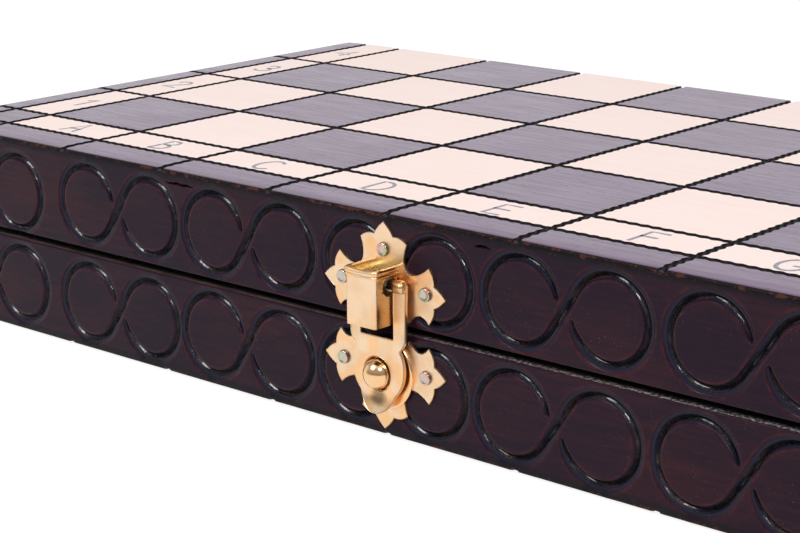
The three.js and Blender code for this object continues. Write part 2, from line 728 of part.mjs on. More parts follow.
function clasp() {
  const group = new THREE.Group();
  group.position.set(0, hingeAxisY + frontFace, parting);
  add(group, 'clasp_upper_plate', upperPlate(), brass);
  add(group, 'clasp_lower_plate', lowerPlate(), brass).rotation.y = Math.PI;
  add(group, 'clasp_ball_stud', ballStud(), brass);
  add(group, 'clasp_hasp', hasp(), brass);
  for (const [plate, pins, sign] of [['upper', upperPins, 1], ['lower', sidePins, -1]]) {
    for (const [name, x, h] of pins) {
      add(group, `${plate}_plate_${name}`, nail(), steel).position.set(x, 0, sign * h);
    }
  }
  return group;
}

const chessSet = new THREE.Group();
chessSet.add(boardHalf('lower', 'dark', false));
chessSet.add(boardHalf('upper', 'light', true));
chessSet.add(clasp());

export default chessSet;
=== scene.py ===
"""Builds the looks of a folding chess box round its fixed frame."""

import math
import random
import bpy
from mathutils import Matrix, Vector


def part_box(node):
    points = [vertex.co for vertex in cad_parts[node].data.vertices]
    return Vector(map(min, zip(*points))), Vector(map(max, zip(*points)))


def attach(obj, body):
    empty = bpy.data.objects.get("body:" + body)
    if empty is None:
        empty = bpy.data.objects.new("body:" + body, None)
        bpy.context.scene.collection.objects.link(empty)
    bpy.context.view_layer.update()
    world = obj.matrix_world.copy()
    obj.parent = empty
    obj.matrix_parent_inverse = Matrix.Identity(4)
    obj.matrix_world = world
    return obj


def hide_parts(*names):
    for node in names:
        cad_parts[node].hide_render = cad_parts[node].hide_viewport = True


bl_info = {
    "name": "Chess Box Looks",
    "version": (1, 0, 0),
    "blender": (4, 5, 0),
    "location": "View3D > Sidebar > Chess Box",
    "description": "Carved and varnished wood, brass clasp, hinges and chessmen for a folding chess box",
    "category": "Object",
}

import bmesh
import bpy
import numpy as np
from mathutils import Matrix, Vector
from mathutils.geometry import delaunay_2d_cdt

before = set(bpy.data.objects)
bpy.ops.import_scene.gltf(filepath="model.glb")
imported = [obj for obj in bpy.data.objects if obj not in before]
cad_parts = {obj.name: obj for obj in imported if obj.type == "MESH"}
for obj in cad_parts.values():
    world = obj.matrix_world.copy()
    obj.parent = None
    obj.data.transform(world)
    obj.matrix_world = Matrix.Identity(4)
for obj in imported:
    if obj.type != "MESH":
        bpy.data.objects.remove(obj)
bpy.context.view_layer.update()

MM = 0.001
HALVES = ("lower", "upper")


def box_mm(node):
    """Lowest and highest corner of a CAD node in millimetres."""
    return [np.array(corner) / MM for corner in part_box(node)]


# Sizes of the box, in millimetres, taken from the frame
CLOSED = box_mm("upper_panel")[1][2]
FRONT = box_mm("lower_front_rail")[0][1]
FOLD = box_mm("lower_panel")[1][1]
SIDE = max(box_mm("lower_left_rail")[1][0], box_mm("lower_right_rail")[1][0])
WALL = box_mm("lower_front_rail")[1][1] - FRONT
RIM = box_mm("lower_front_rail")[1][2]
PARTING = CLOSED / 2
PANEL = box_mm("lower_fold_rail")[0][2]
HINGE_Y = (box_mm("left_hinge_pin")[0][1] + box_mm("left_hinge_pin")[1][1]) / 2

SQUARE = 38
FILES = 8
RANKS = 4
LABEL = 15
FILE_LINES = [-SIDE + WALL] + [(i - FILES / 2) * SQUARE for i in range(FILES + 1)] + [SIDE - WALL]
RANK_LINES = [FRONT + WALL] + [FRONT + WALL + LABEL + i * SQUARE for i in range(RANKS)]
JOINT_GAP = 0.05

ARRIS = 0.9
ARRIS_DROP = 0.5
SHOULDER = {"front": (4.5, 0.3, 1.6), "side": (4.8, 1.2, 1.15)}
CORNER = 0.9
ROUND_STEPS = (0.4, 0.6, CORNER)
RIM_EASE = 0.45
FOLD_EASE = 0.6


# ---- Settings ----


def size(name, text, value, **more):
    """A length in millimetres that a user may change."""
    return bpy.props.FloatProperty(name=name, description=text, default=value, **more)


def colour(name, text, value):
    """A linear colour that a user may change."""
    return bpy.props.FloatVectorProperty(
        name=name, description=text, default=value, subtype="COLOR", size=3, min=0, max=1)


class ChessWoodSettings(bpy.types.PropertyGroup):
    cord_half: size("Cord half width", "Half the width of the burnt cord line, mm", 1.18)
    cord_depth: size("Cord depth", "Depth of the burnt cord line, mm", 1.15)
    cord_pitch: size("Cord pitch", "Length of one twist of the cord line, mm", 3.1)
    carve_half: size("Scroll half width", "Half the width of a carved scroll, mm", 1.4)
    carve_depth: size("Scroll depth", "Depth of a carved scroll, mm", 1.35)
    scroll_radius: size("Scroll radius", "Radius of a scroll's centre line, mm", 10.2)
    scroll_spread: size("Scroll spread", "Distance of a scroll's centres, mm", 23.9)
    scroll_pitch: size("Scroll pitch", "Distance from one scroll to the next, mm", 48.25)
    letter_height: size("Letter height", "Height of the letters and numbers, mm", 9.2)
    letter_stroke: size("Letter stroke", "Width of a letter's stroke, mm", 1.0)
    stain: colour("Stain", "Varnished stain of the frame", (0.0110, 0.0037, 0.0124))
    stain_red: colour("Red grain", "Redder streaks in the stain", (0.031, 0.0072, 0.0125))
    burnt: colour("Burnt groove", "Lacquer in the grooves", (0.0125, 0.0115, 0.0245))
    worn: colour("Worn edge", "Bare wood where the edges are rubbed", (0.075, 0.021, 0.013))
    dark_square: colour("Dark square", "Stain of the dark squares", (0.132, 0.064, 0.150))
    light_square: colour("Light square", "Pale veneer of the light squares", (0.90, 0.715, 0.66))
    ink: colour("Lettering", "Ink of the letters and numbers", (0.20, 0.22, 0.27))


class ChessClaspSettings(bpy.types.PropertyGroup):
    sheet: size("Sheet", "Thickness of the clasp plates, mm", 0.5)
    lip: size("Hood lip", "How far the hood's lip stands out, mm", 0.5)
    dish: size("Hasp dish", "How deep the hasp is dished round the ball, mm", 0.28)
    brass: colour("Brass", "Polished brass", (0.90, 0.655, 0.44))
    brass_deep: colour("Old brass", "Brass where the lacquer is darker", (0.83, 0.52, 0.25))
    # Painted shade: a darker brass laid in blotches on the hood's side walls and edges and on the hasp's
    # ears.
    brass_shade: colour(
        "Shaded brass", "Browned brass of the hood's sides and the ears", (0.60, 0.37, 0.17))
    nail: colour("Nail heads", "Plated steel of the nails", (0.56, 0.53, 0.46))


class ChessTraySettings(bpy.types.PropertyGroup):
    light_man: colour("Light men", "Varnished pale wood", (0.62, 0.38, 0.17))
    dark_man: colour("Dark men", "Stained dark wood", (0.065, 0.022, 0.012))
    flock: colour("Flock", "Velvet flock of the trays", (0.11, 0.008, 0.018))
    pin_steel: colour("Hinge pins", "Bright steel", (0.62, 0.61, 0.58))


class ChessStageSettings(bpy.types.PropertyGroup):
    lens: size("Lens", "Focal length, mm", 93.04)
    eye: bpy.props.FloatVectorProperty(
        name="Eye", description="Place of the camera", default=(0.30587, -0.42898, 0.16530),
        subtype="TRANSLATION", unit="LENGTH", precision=4)
    heading: size("Heading", "Compass direction of the view, degrees", -41.366)
    dip: size("Dip", "How far the view looks down, degrees", 15.129)
    roll: size("Roll", "Turn of the camera about its view, degrees", -0.418)
    key_power: size("Key lamp", "Power of the large lamp, W", 9.0)
    rim_power: size("Rim lamp", "Power of the lamp on the right, W", 5.0)
    fill_level: size("Fill", "Strength of the even light from all round", 0.62)
    room_level: size("Room", "How bright the room behind the camera is in the gloss", 0.42)
    floor_glow: size("Floor glow", "Share of the floor's white that shadows leave", 0.88)


def settings(context, group):
    return getattr(context.scene, group)


# ---- Node expressions ----


class Signal:
    """A socket that can be used in arithmetic; each operation adds its Math node."""

    def __init__(self, finish, socket):
        self.finish = finish
        self.socket = socket

    def math(self, operation, *values):
        return self.finish.node("ShaderNodeMath", {"operation": operation}, dict(enumerate(values)))

    def __add__(self, other):
        return self.math("ADD", self, other)

    def __sub__(self, other):
        return self.math("SUBTRACT", self, other)

    def __rsub__(self, other):
        return self.math("SUBTRACT", other, self)

    def __mul__(self, other):
        return self.math("MULTIPLY", self, other)

    def __abs__(self):
        return self.math("ABSOLUTE", self)

    __radd__ = __add__
    __rmul__ = __mul__

    def least(self, other):
        return self.math("MINIMUM", self, other)

    def most(self, other):
        return self.math("MAXIMUM", self, other)

    def ramp(self, low, high, bottom=0.0, top=1.0):
        """Goes smoothly from bottom to top as this value goes from low to high."""
        values = {"Value": self, "From Min": low, "From Max": high, "To Min": bottom, "To Max": top}
        return self.finish.node("ShaderNodeMapRange", {"interpolation_type": "SMOOTHSTEP"}, values)


class Finish:
    """A procedural material, or a world, and its nodes."""

    def __init__(self, name, kind="materials"):
        self.material = getattr(bpy.data, kind).new(name)
        self.material.use_nodes = True
        self.tree = self.material.node_tree
        self.tree.nodes.clear()
        place = "Object" if kind == "materials" else "Generated"
        self.place = self.node("ShaderNodeTexCoord", output=place)

    def node(self, kind, settings=None, values=None, output=0):
        """Adds a node, sets its settings, then sets or links its sockets."""
        node = self.tree.nodes.new(kind)
        for name, value in (settings or {}).items():
            setattr(node, name, value)
        for name, value in (values or {}).items():
            if isinstance(value, Signal):
                self.tree.links.new(value.socket, node.inputs[name])
            elif node.inputs[name].type == "RGBA" and len(value) == 3:
                node.inputs[name].default_value = (*value, 1)
            else:
                node.inputs[name].default_value = value
        return Signal(self, node.outputs[output]) if len(node.outputs) else None

    def part(self, axis):
        """One coordinate of the place, in metres."""
        return self.node("ShaderNodeSeparateXYZ", values={0: self.place}, output=axis)

    def ray(self, kind):
        return self.node("ShaderNodeLightPath", output=kind)

    def streaks(self, along, fine):
        """The place for grain that is drawn out along one axis: 0, 1 or 2."""
        scale = [1, 1, 1]
        scale[along] = 1 / fine
        values = {0: self.place, 1: scale, 2: (0, 0, 0)}
        return self.node("ShaderNodeVectorMath", {"operation": "MULTIPLY_ADD"}, values)

    def noise(self, scale, detail=3.0, rough=0.55, place=None, distortion=0.0):
        values = {"Vector": place or self.place, "Scale": scale, "Detail": detail,
                  "Roughness": rough, "Distortion": distortion}
        return self.node("ShaderNodeTexNoise", values=values)

    def cells(self, scale):
        values = {"Vector": self.place, "Scale": scale}
        return self.node("ShaderNodeTexVoronoi", values=values, output="Distance")

    def mix(self, factor, first, second):
        """Blends two colours."""
        values = {0: factor, 6: first, 7: second}
        return self.node("ShaderNodeMix", {"data_type": "RGBA"}, values, output=2)

    def stored(self, name):
        """A value kept on the mesh's points."""
        return self.node("ShaderNodeAttribute", {"attribute_name": name}, output="Fac")

    def bump(self, height, distance, strength):
        values = {"Height": height, "Distance": distance, "Strength": strength}
        return self.node("ShaderNodeBump", values=values)

    def surface(self, **values):
        """Closes the material with a Principled shader; returns the material."""
        named = {name.replace("_", " "): value for name, value in values.items()}
        shader = self.node("ShaderNodeBsdfPrincipled", values=named)
        self.node("ShaderNodeOutputMaterial", values={"Surface": shader})
        return self.material


# ---- Finishes ----


def stained_wood(wood, name, along):
    """Dark varnished wood, redder in its grain, round the carving and on the rubbed edges."""
    finish = Finish(name)
    grain = finish.noise(900, 4, 0.6, finish.streaks(along, 14))
    patches = finish.noise(60, 3, 0.5, finish.streaks(along, 2.5))
    pores = finish.noise(2600, 2, 0.7, finish.streaks(along, 9))
    reddish = (grain * 0.6 + patches * 0.75).ramp(0.52, 0.98)
    body = finish.mix(reddish, wood.stain, wood.stain_red)
    halo = finish.stored("halo") * finish.noise(500, 2).ramp(0.35, 0.62, 0.15, 1.0)
    body = finish.mix(halo * 0.55, body, (0.075, 0.013, 0.017))
    carve = finish.stored("carve")
    # Painted shade: the bluish-black lacquer of the carving turns near black in the deepest part of each
    # groove.
    lacquer = finish.mix(carve.ramp(0.66, 0.92), wood.burnt, (0.0010, 0.0007, 0.0018))
    wall = carve.ramp(0.35, 0.5) * carve.ramp(0.8, 0.95, 1.0, 0.0)
    # Brown flecks on the walls of the carving.
    brown_wall_flecks = wall * finish.noise(330, 2).ramp(0.46, 0.6)
    lacquer = finish.mix(brown_wall_flecks * 0.55, lacquer, (0.052, 0.022, 0.018))
    body = finish.mix(carve.ramp(0.06, 0.3), body, lacquer)
    # Darker within about 3 mm of each half's playing face, and near black within about 1 mm of it.
    from_top = PARTING * MM - abs(finish.part("Z") - PARTING * MM)
    wavy = finish.noise(260, 3) * 0.0016 - 0.0008
    dark_band = (from_top + wavy).ramp(0.0016, 0.0031, 1.0, 0.0)
    body = finish.mix(dark_band * 0.9, body, (0.0056, 0.0046, 0.0088))
    specks = finish.noise(3600, 2, 0.7).ramp(0.66, 0.74)
    dark_edge_line = (from_top + wavy * 0.3).ramp(0.0009, 0.0015, 1.0, 0.0)
    body = finish.mix(dark_edge_line * 0.9, body, (0.0012, 0.0008, 0.0009))
    body = finish.mix(specks * (0.4 + dark_band * 0.3), body, (0.085, 0.062, 0.066))
    dust = finish.cells(900).ramp(0.05, 0.12, 1.0, 0.0) * finish.noise(110, 2).ramp(0.45, 0.62)
    body = finish.mix(dust * 0.6, body, (0.17, 0.12, 0.14))
    edge = finish.stored("edge")
    broken = finish.noise(420, 3, 0.65).ramp(0.5, 0.6, 0.08, 1.0)
    rubbed = (edge + finish.noise(600, 3, 0.6) * 1.5 - 0.75).ramp(0.66, 0.9) * broken
    body = finish.mix(rubbed * 0.85, body, wood.worn)
    rough = pores.ramp(0.3, 0.7, 0.26, 0.42) + rubbed * 0.2 + dark_band * 0.12 - carve.ramp(0.1, 0.5) * 0.08
    relief = grain * 0.35 + pores * 0.3 + finish.noise(5200, 2) * 0.35
    relief = relief + carve.ramp(0.1, 0.4) * finish.noise(1500, 3, 0.7) * 3.2
    normal = finish.bump(relief, 0.00006, 0.75)
    # Painted sheen: the coat of the carving, and so its sheen and glints, is kept to groove walls that face
    # up, and broken by a crazed pattern.
    crazed = finish.noise(800, 3, 0.65).ramp(0.4, 0.58, 0.3, 1.0) * finish.stored("pooled")
    return finish.surface(
        Base_Color=body, Roughness=rough, Normal=normal, Specular_IOR_Level=0.13,
        Coat_Weight=carve.ramp(0.4, 0.75) * crazed, Coat_Roughness=0.09, Coat_IOR=1.6)


def square_veneer(wood, name, dark):
    """Varnished veneer of the squares, with fine grain, open pores and, on the dark squares, painted shade
    in streaks over the rounded shoulder by the outer edge.
    """
    finish = Finish(name)
    grain = finish.noise(700, 4, 0.6, finish.streaks(0, 16))
    cloud = finish.noise(38, 3, 0.5)
    pores = finish.noise(2400, 2, 0.6, finish.streaks(0, 7)).ramp(0.62, 0.72)
    if dark:
        body = finish.mix(grain.ramp(0.35, 0.7), wood.dark_square, (0.100, 0.053, 0.116))
        body = finish.mix(cloud.ramp(0.4, 0.75) * 0.35, body, (0.146, 0.086, 0.160))
        body = finish.mix(pores * 0.6, body, (0.018, 0.010, 0.018))
        # Painted shade: the dark squares darken over the rounded shoulder towards the outer edge, broken
        # into streaks.
        streak = finish.noise(210, 3, 0.6, finish.streaks(0, 10)).ramp(0.5, 0.72)
        shoulder = finish.stored("shoulder")
        body = finish.mix(shoulder * (0.15 + streak * 0.6), body, (0.050, 0.022, 0.030))
        edge = finish.stored("edge")
        body = finish.mix(edge, body, (0.004, 0.0022, 0.0025))
        rough = grain.ramp(0.3, 0.7, 0.27, 0.36) + pores * 0.15 + cloud.ramp(0.35, 0.7, 0.0, 0.05)
        relief = grain * 0.6 + finish.noise(4200, 2) * 0.3 - pores * 0.5
        normal = finish.bump(relief, 0.00004, 0.6)
        return finish.surface(
            Base_Color=body, Roughness=rough + edge * 0.3, Normal=normal, Specular_IOR_Level=0.5,
            Coat_Weight=(1 - edge) * 0.32, Coat_Roughness=0.2)
    body = finish.mix(grain.ramp(0.4, 0.75) * 0.3, wood.light_square, (0.85, 0.65, 0.59))
    body = finish.mix(cloud.ramp(0.45, 0.7) * 0.4, body, (0.91, 0.73, 0.70))
    rough = grain.ramp(0.3, 0.7, 0.33, 0.42)
    normal = finish.bump(grain * 0.5 + finish.noise(3600, 2) * 0.3, 0.00003, 0.5)
    return finish.surface(Base_Color=body, Roughness=rough, Normal=normal, Specular_IOR_Level=0.5)


def burnt_cord(name):
    """The burnt, twisted cord line between the squares."""
    finish = Finish(name)
    crest = finish.stored("crest").ramp(0.25, 0.85) * finish.noise(800, 2).ramp(0.25, 0.6)
    body = finish.mix(crest, (0.0016, 0.0012, 0.0018), (0.048, 0.030, 0.042))
    rough = finish.noise(1500, 2).ramp(0.3, 0.7, 0.25, 0.45)
    normal = finish.bump(finish.noise(2600, 3, 0.65), 0.00014, 0.9)
    return finish.surface(Base_Color=body, Roughness=rough, Normal=normal, Specular_IOR_Level=0.12)


def sawn_rim(name):
    """The rims that meet: thinly stained, rough from the saw, with pale grey flecks towards the right, and
    darkened further in by painted shade.
    """
    finish = Finish(name)
    fibres = finish.noise(420, 5, 0.65, finish.streaks(0, 3))
    specks = finish.noise(1800, 3, 0.7)
    body = finish.mix(fibres.ramp(0.3, 0.7), (0.030, 0.016, 0.016), (0.085, 0.056, 0.052))
    chips = finish.noise(1000, 3, 0.75)
    # Pale grey flecks on the rim, fading out towards the left end.
    pale_right_flecks = finish.part("X").ramp(-0.06, 0.08) * chips.ramp(0.49, 0.57)
    body = finish.mix(pale_right_flecks * 0.8, body, (0.38, 0.35, 0.37))
    body = finish.mix(specks.ramp(0.6, 0.75), body, (0.020, 0.010, 0.012))
    # Painted shade: the rim turns near black from about 2 to 4 mm in from the outer faces, where the gap
    # between the halves lies in shadow.
    from_face = (finish.part("Y") - FRONT * MM).least(SIDE * MM - abs(finish.part("X")))
    body = finish.mix((from_face + specks * 0.0012).ramp(0.0020, 0.0042), body, (0.006, 0.0035, 0.005))
    normal = finish.bump(fibres * 0.6 + specks * 0.5, 0.00025, 0.9)
    return finish.surface(Base_Color=body, Roughness=0.72, Normal=normal, Specular_IOR_Level=0.3)


def polished_brass(clasp, name, deep=0.0, satin=0.16, shade_tint=None, thumb_shade_at=None):
    """Lacquered brass: bright, with fine pits, warm blotches and slightly uneven polish. A shade tint, if
    given, is laid on in blotches as painted shade; the place of the thumb, in metres, if given, gets a dark
    patch of painted shade round it."""
    finish = Finish(name)
    cloud = finish.noise(220, 3, 0.5)
    blush = finish.noise(150, 3, 0.5, distortion=0.5)
    pits = finish.cells(1500)
    tint = finish.mix(cloud.ramp(0.42, 0.72, deep, min(deep + 0.35, 1.0)), clasp.brass, clasp.brass_deep)
    tint = finish.mix(blush.ramp(0.47, 0.58) * 0.75, tint, (0.94, 0.56, 0.27))
    if shade_tint:
        # Painted shade: blotches of a darker brass, standing in for the dimmer reflections of the hood's
        # sides and the hasp's ears.
        stain = finish.noise(130, 3, 0.6, distortion=0.4).ramp(0.36, 0.6)
        tint = finish.mix(stain * 0.85, tint, tuple(shade_tint))
    if thumb_shade_at:
        # Painted shade: a dark patch round the thumb scoop, standing in for its dark reflection.
        across, up = finish.part("X") - thumb_shade_at[0], finish.part("Z") - thumb_shade_at[1]
        spread = across * across + up * up * 1.6 + finish.noise(900, 3, 0.6) * 0.000006
        tint = finish.mix(spread.ramp(0.000003, 0.000013, 0.8, 0.0), tint, (0.13, 0.095, 0.055))
    pitted = pits.ramp(0.05, 0.16, 1.0, 0.0) * finish.noise(500, 1).ramp(0.5, 0.6)
    tint = finish.mix(pitted * 0.4, tint, (0.30, 0.16, 0.06))
    rough = cloud.ramp(0.3, 0.7, satin, satin + 0.1) + pitted * 0.2
    relief = finish.noise(320, 2) * 0.7 - pitted * 0.3 + finish.noise(2400, 2) * 0.08
    normal = finish.bump(relief, 0.00008, 0.55)
    return finish.surface(Base_Color=tint, Roughness=rough, Metallic=1.0, Normal=normal)


def plated_steel(tint, name, play_share=1.0):
    """Plated steel with a play of pink and green."""
    finish = Finish(name)
    play = finish.noise(420, 2, 0.5, distortion=0.8)
    body = finish.mix(play.ramp(0.5, 0.38) * play_share, tint, (0.40, 0.47, 0.30))
    body = finish.mix(play.ramp(0.52, 0.64) * play_share, body, (0.72, 0.42, 0.38))
    rough = finish.noise(900, 2).ramp(0.3, 0.7, 0.2, 0.34)
    normal = finish.bump(finish.noise(700, 3), 0.00008, 0.8)
    return finish.surface(Base_Color=body, Roughness=rough, Metallic=1.0, Normal=normal)


def printed_ink(wood, name):
    finish = Finish(name)
    worn = finish.noise(1600, 3, 0.6).ramp(0.35, 0.7)
    body = finish.mix(worn * 0.5, wood.ink, (0.50, 0.46, 0.52))
    return finish.surface(Base_Color=body, Roughness=0.5, Specular_IOR_Level=0.4)


def turned_wood(tint, name):
    """Wood of the chessmen with its grain along the axis and a satin varnish."""
    finish = Finish(name)
    finish.place = finish.node("ShaderNodeAttribute", {"attribute_name": "standing"}, output="Vector")
    rings = finish.noise(330, 3, 0.55, finish.streaks(2, 12), 0.4)
    fine = finish.noise(2200, 3, 0.6, finish.streaks(2, 20))
    deeper = tuple(c * 0.55 for c in tint)
    body = finish.mix((rings * 0.7 + fine * 0.4).ramp(0.42, 0.72), tint, deeper)
    rough = fine.ramp(0.3, 0.7, 0.26, 0.4)
    normal = finish.bump(fine * 0.6 + rings * 0.3, 0.00004, 0.6)
    return finish.surface(Base_Color=body, Roughness=rough, Normal=normal, Coat_Weight=0.3)


def velvet_flock(tint, name):
    finish = Finish(name)
    fuzz = finish.noise(5200, 3, 0.75)
    patches = finish.noise(70, 3, 0.5, distortion=0.6)
    dark, worn, pale = ([min(c * share, 1) for c in tint] for share in (0.35, 0.45, 1.6))
    body = finish.mix(fuzz.ramp(0.3, 0.75), dark, pale)
    body = finish.mix(patches.ramp(0.42, 0.62) * 0.5, body, worn)
    normal = finish.bump(fuzz + patches * 0.2, 0.0003, 0.9)
    return finish.surface(
        Base_Color=body, Roughness=0.95, Normal=normal, Sheen_Weight=0.16, Specular_IOR_Level=0.2)


# ---- Meshes ----


WELD = 0.003


class Soup:
    """Polygons given by the places of their corners; build() welds them into one mesh."""

    def __init__(self):
        self.points, self.faces, self.slots, self.values = [], [], [], {}
        self.count = 0

    def add(self, points, faces, slot=0, **values):
        """slot is one number, or one for each face; values are numbers kept on the points."""
        points = np.asarray(points, float).reshape(-1, 3)
        self.points.append(points)
        self.slots += [slot] * len(faces) if isinstance(slot, int) else [int(i) for i in slot]
        self.faces += [[int(i) + self.count for i in face] for face in faces]
        for name, value in values.items():
            spread = np.broadcast_to(np.asarray(value, float), (len(points),))
            self.values.setdefault(name, []).append((self.count, spread))
        self.count += len(points)

    def strip(self, first, second, slot=0, closed=False, **values):
        """A band of quads between two lines of as many points."""
        first, second = np.asarray(first, float), np.asarray(second, float)
        n = len(first)
        last = n if closed else n - 1
        faces = [(i, (i + 1) % n, n + (i + 1) % n, n + i) for i in range(last)]
        self.add(np.concatenate([first, second]), faces, slot, **values)

    def build(self, name, materials, place=None, sharp=38.0, base=None):
        """Makes the object. place maps points in millimetres to the row frame. base closes an open
        sheet, as (corners, slot_of): see close_sheet."""
        place = place or (lambda points: points)
        mesh = bpy.data.meshes.new(name)
        mesh.from_pydata((place(np.concatenate(self.points)) * MM).tolist(), [], self.faces)
        mesh.polygons.foreach_set("material_index", self.slots)
        for key, parts in self.values.items():
            whole = np.zeros(self.count, np.float32)
            for start, part in parts:
                whole[start:start + len(part)] = part
            mesh.attributes.new(key, "FLOAT", "POINT").data.foreach_set("value", whole)
        work = bmesh.new()
        work.from_mesh(mesh)
        bmesh.ops.remove_doubles(work, verts=work.verts, dist=WELD * MM)
        bmesh.ops.delete(work, geom=[v for v in work.verts if not v.link_faces], context="VERTS")
        if base:
            corners, slot_of = base
            places = place(np.array(corners, float).reshape(-1, 3)) * MM
            close_sheet(work, [Vector(p) for p in places], slot_of)
        return finish_mesh(name, work, mesh, materials, sharp)


def close_sheet(work, corners, slot_of):
    """Closes an open sheet. Its edge is cut at the corners, which alternate between a place on the
    edge and the base corner under it, and each stretch becomes one flat side."""
    beside = {}
    for edge in work.edges:
        if edge.is_boundary:
            a, b = edge.verts
            beside.setdefault(a, []).append(b)
            beside.setdefault(b, []).append(a)
    if any(len(pair) != 2 for pair in beside.values()):
        raise RuntimeError("the sheet's edge touches itself")
    start = next(iter(beside))
    ring, before = [start], None
    while True:
        a, b = beside[ring[-1]]
        ahead = b if a is before else a
        if ahead is start:
            break
        before = ring[-1]
        ring.append(ahead)
    if len(ring) != len(beside):
        raise RuntimeError(f"the sheet's edge is not one loop: {len(ring)} of {len(beside)}")
    cuts, bases = [], []
    for top, low in zip(corners[::2], corners[1::2]):
        cuts.append(min(range(len(ring)), key=lambda i: (ring[i].co - top).length_squared))
        same = [v for v in bases if (v.co - low).length < 1e-7]
        bases.append(same[0] if same else work.verts.new(low))
    order = sorted(range(len(cuts)), key=lambda i: cuts[i])
    for here, there in zip(order, order[1:] + order[:1]):
        a, b = cuts[here], cuts[there]
        stretch = ring[a:b + 1] if b > a else ring[a:] + ring[:b + 1]
        side = [*stretch, bases[there]]
        if bases[there] is not bases[here]:
            side.append(bases[here])
        work.faces.new(side).material_index = slot_of([v.co for v in side])
    low = list(dict.fromkeys(bases[i] for i in order))
    if len(low) > 2:
        work.faces.new(low).material_index = slot_of([v.co for v in low])


def finish_mesh(name, work, mesh, materials, sharp):
    """Turns the faces outwards, smooths them up to an angle and links the object."""
    for material in materials:
        mesh.materials.append(material)
    bmesh.ops.recalc_face_normals(work, faces=work.faces)
    work.to_mesh(mesh)
    work.free()
    mesh.polygons.foreach_set("use_smooth", [True] * len(mesh.polygons))
    mesh.set_sharp_from_angle(angle=math.radians(sharp))
    made = bpy.data.objects.new(name, mesh)
    bpy.context.scene.collection.objects.link(made)
    return made


def triangulated(outlines, lines=(), loose=()):
    """Triangles inside closed outlines that keep every line and point given."""
    points, edges, known = [], [], {}

    def number(p):
        key = (round(p[0] * 1e4), round(p[1] * 1e4))
        if key not in known:
            known[key] = len(points)
            points.append(Vector((float(p[0]), float(p[1]))))
        return known[key]

    def join(line, closed):
        ids = [number(p) for p in line]
        pairs = zip(ids, ids[1:] + (ids[:1] if closed else []))
        edges.extend((a, b) for a, b in pairs if a != b)

    for ring in outlines:
        join(ring, True)
    for line in lines:
        join(line, False)
    for p in loose:
        number(p)
    co, _, tris = delaunay_2d_cdt(points, edges, [], 0, 1e-5, False)[:3]
    co, tris = np.array(co), np.array(tris)
    kept = within(co[tris].mean(1), outlines)
    return co, tris[kept].tolist()


def within(points, outlines):
    """Which points lie inside an odd number of closed outlines."""
    x, y = points.T
    odd = np.zeros(len(points), bool)
    for ring in outlines:
        ring = np.array(ring, float)
        for (ax, ay), (bx, by) in zip(ring, np.roll(ring, -1, 0)):
            if ay != by:
                odd ^= ((ay > y) != (by > y)) & (x < (bx - ax) * (y - ay) / (by - ay) + ax)
    return odd


def spaced(start, end, step):
    """Even stations from start to end, about a step apart."""
    return np.linspace(start, end, max(int(round(abs(end - start) / step)), 1) + 1)


def ripple(at, seed, period):
    """A slow, smooth wander between about -1 and 1 that is the same on each run."""
    x = np.asarray(at, float) / period
    return 0.6 * np.sin(2.3 * x + seed) + 0.4 * np.sin(5.1 * x + 1.7 * seed)


# ---- The corded playing faces, as places across, deep and height above the face ----


CORD_STEPS = (-1.25, -1.0, -0.72, -0.36, 0.0, 0.36, 0.72, 1.0, 1.25)


def cord_half(wood, along):
    """Half width of a cord line, which swells with each twist."""
    return wood.cord_half * (0.93 + 0.17 * np.cos(2 * np.pi * np.asarray(along) / wood.cord_pitch))


def cord_sink(wood, across, along):
    """How deep one cord line is, and where its crests are."""
    share = across / cord_half(wood, along)
    inside = np.clip(1 - share ** 2, 0, None)
    twist = 0.5 + 0.5 * np.cos(2 * np.pi * along / wood.cord_pitch + 2.4 * share)
    return wood.cord_depth * inside ** 0.7 * (1 - 0.52 * twist), twist * inside


def cords(wood, u, v):
    """Depth and crests of all cord lines at places on a playing face."""
    sink, crest = np.zeros(len(u)), np.zeros(len(u))
    for lines, across, along in ((FILE_LINES, u, v), (RANK_LINES, v, u)):
        for line in lines:
            deeper, top = cord_sink(wood, across - line, along)
            crest = np.where(deeper > sink, top, crest)
            sink = np.maximum(sink, deeper)
    return sink, crest


def inset(u, v):
    """Distance in from the outer faces of the box, with its rounded corners."""
    x, y = SIDE - np.abs(u), v - FRONT
    round_off = CORNER - np.hypot(CORNER - x, CORNER - y)
    return np.where((x < CORNER) & (y < CORNER), round_off, np.minimum(x, y))


def arris(u, v):
    """How far the rubbed outer edges fall below the playing face: a soft shoulder, then a tight round."""
    along_side = SIDE - np.abs(u) < v - FRONT
    at = np.where(along_side, v, u)
    wander = 1 + 0.14 * ripple(at, 1.3, 9) + 0.08 * ripple(at, 4.2, 2.6)
    share = np.clip(1 - inset(u, v) / ARRIS, 0, 1)
    drop = ARRIS_DROP * wander * (1 - np.sqrt(1 - share ** 2))
    gaps = {"front": v - FRONT, "side": SIDE - np.abs(u)}
    for side, (wide, deep, power) in SHOULDER.items():
        drop = drop + deep * np.clip(1 - gaps[side] / wide, 0, 1) ** power
    fold = np.clip(1 - (FOLD - v) / FOLD_EASE, 0, 1)
    eased = FOLD_EASE * 0.5 * (1 - np.sqrt(1 - fold ** 2))
    return np.maximum(drop, eased)


def face_height(wood, u, v):
    """Height of a playing face, the crests of its cords, its outer edge and its shoulder."""
    sink, crest = cords(wood, u, v)
    drop = arris(u, v)
    from_edge = np.clip(1 - inset(u, v) / ARRIS, 0, 1)
    shoulder = np.clip(1 - inset(u, v) / SHOULDER["front"][0], 0, 1)
    return -drop - sink * (1 - 0.55 * from_edge), crest, np.clip(from_edge * 1.6 - 0.3, 0, 1), shoulder


